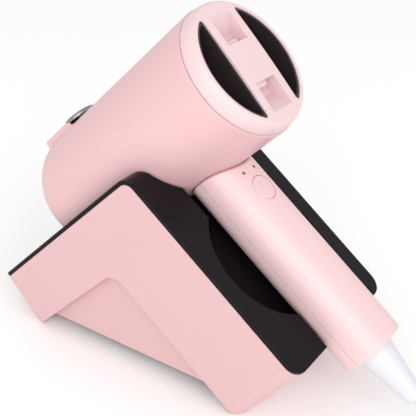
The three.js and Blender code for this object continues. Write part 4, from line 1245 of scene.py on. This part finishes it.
class DRYER_OT_cradle(bpy.types.Operator):
    """Black top of the stand, with the trough the dryer lies in and the finger recess"""

    bl_idname = "dryer.cradle"
    bl_label = "Cradle plate"

    def execute(self, context):
        sizes = context.scene.dryer_sizes
        plate = stand_block("CradlePlate", chevron(), 0)
        combine(plate, [stand_block("Below", chevron(sizes.plate_thickness / MM, -5, -5), -5)])
        shrink = SHELL_WALL + CLEAR
        tray = dryer_room(TROUGH_WALL)
        combine(tray, [stand_block("Room", chevron(0, shrink, shrink), shrink)], "INTERSECT")
        combine(plate, [tray], "UNION")
        combine(plate, [at_screw(place, sizes.plate_thickness / MM / 2, screw_depth(place) - shrink, 3.6)
                        for place in SCREW_PLACES], "UNION")
        combine(plate, [dryer_room(0)])
        combine(plate, [at_screw(place, screw_depth(place) - SHELL_WALL - 12, screw_depth(place), 1.6)
                        for place in SCREW_PLACES])
        soften_edges(plate, sizes.lip_radius, 4, share=cradle_top_edges)
        finish_piece(plate, "stand", "cradle", "black_gloss", "cradle_plate")
        return {"FINISHED"}


# ---------- pieces carried over from the CAD ----------
INNER_NODES = {
    "steel": ["inlet_filter", "motor_shaft", "motor_can", "thermostat", "thermal_fuse", "handle_screw_1",
              "handle_screw_2", "power_regulator", "stand_screw_1", "stand_screw_2", "stand_screw_3",
              "stand_screw_4"],
    "liner": ["mode_switch", "fan_shroud", "ion_emitter", "power_switch", "suppression_capacitor",
              "ion_generator"],
    "white": ["impeller", "stator_vanes"],
    "mica": ["heater_board_upright", "heater_board_lying", "heater_sleeve"],
    "wire": ["heater_coil"],
    "board": ["control_board"],
}


class DRYER_OT_inner_parts(bpy.types.Operator):
    """Finishes for the fan, motor, heater, boards and screws, which keep their CAD shape"""

    bl_idname = "dryer.inner_parts"
    bl_label = "Inner parts"

    def execute(self, context):
        for finish, names in INNER_NODES.items():
            for name in names:
                coat(frame["nodes"][name], finish)
        return {"FINISHED"}


# ---------- add-on ----------
class DRYER_PT_panel(bpy.types.Panel):
    """Sizes, colours and one button per piece"""

    bl_idname = "DRYER_PT_panel"
    bl_label = "Hair Dryer"
    bl_space_type = "VIEW_3D"
    bl_region_type = "UI"
    bl_category = "Dryer"

    def draw(self, context):
        layout = self.layout
        for group in (context.scene.dryer_sizes, context.scene.dryer_colours):
            column = layout.column(align=True)
            for key in group.__annotations__:
                column.prop(group, key)
        for operator in OPERATORS:
            layout.operator(operator.bl_idname)


OPERATORS = (DRYER_OT_stage, DRYER_OT_plug, DRYER_OT_cord, DRYER_OT_barrel, DRYER_OT_outlet, DRYER_OT_inlet,
             DRYER_OT_buttons, DRYER_OT_handle, DRYER_OT_stand, DRYER_OT_cradle, DRYER_OT_inner_parts)
CLASSES = (DryerSizes, DryerColours, *OPERATORS, DRYER_PT_panel)


def register():
    for cls in CLASSES:
        bpy.utils.register_class(cls)
    bpy.types.Scene.dryer_sizes = bpy.props.PointerProperty(type=DryerSizes)
    bpy.types.Scene.dryer_colours = bpy.props.PointerProperty(type=DryerColours)


def unregister():
    del bpy.types.Scene.dryer_colours
    del bpy.types.Scene.dryer_sizes
    for cls in reversed(CLASSES):
        bpy.utils.unregister_class(cls)


def main():
    register()
    for operator in OPERATORS:
        getattr(bpy.ops.dryer, operator.bl_idname.split(".")[1])()


if __name__ == "__main__":
    main()
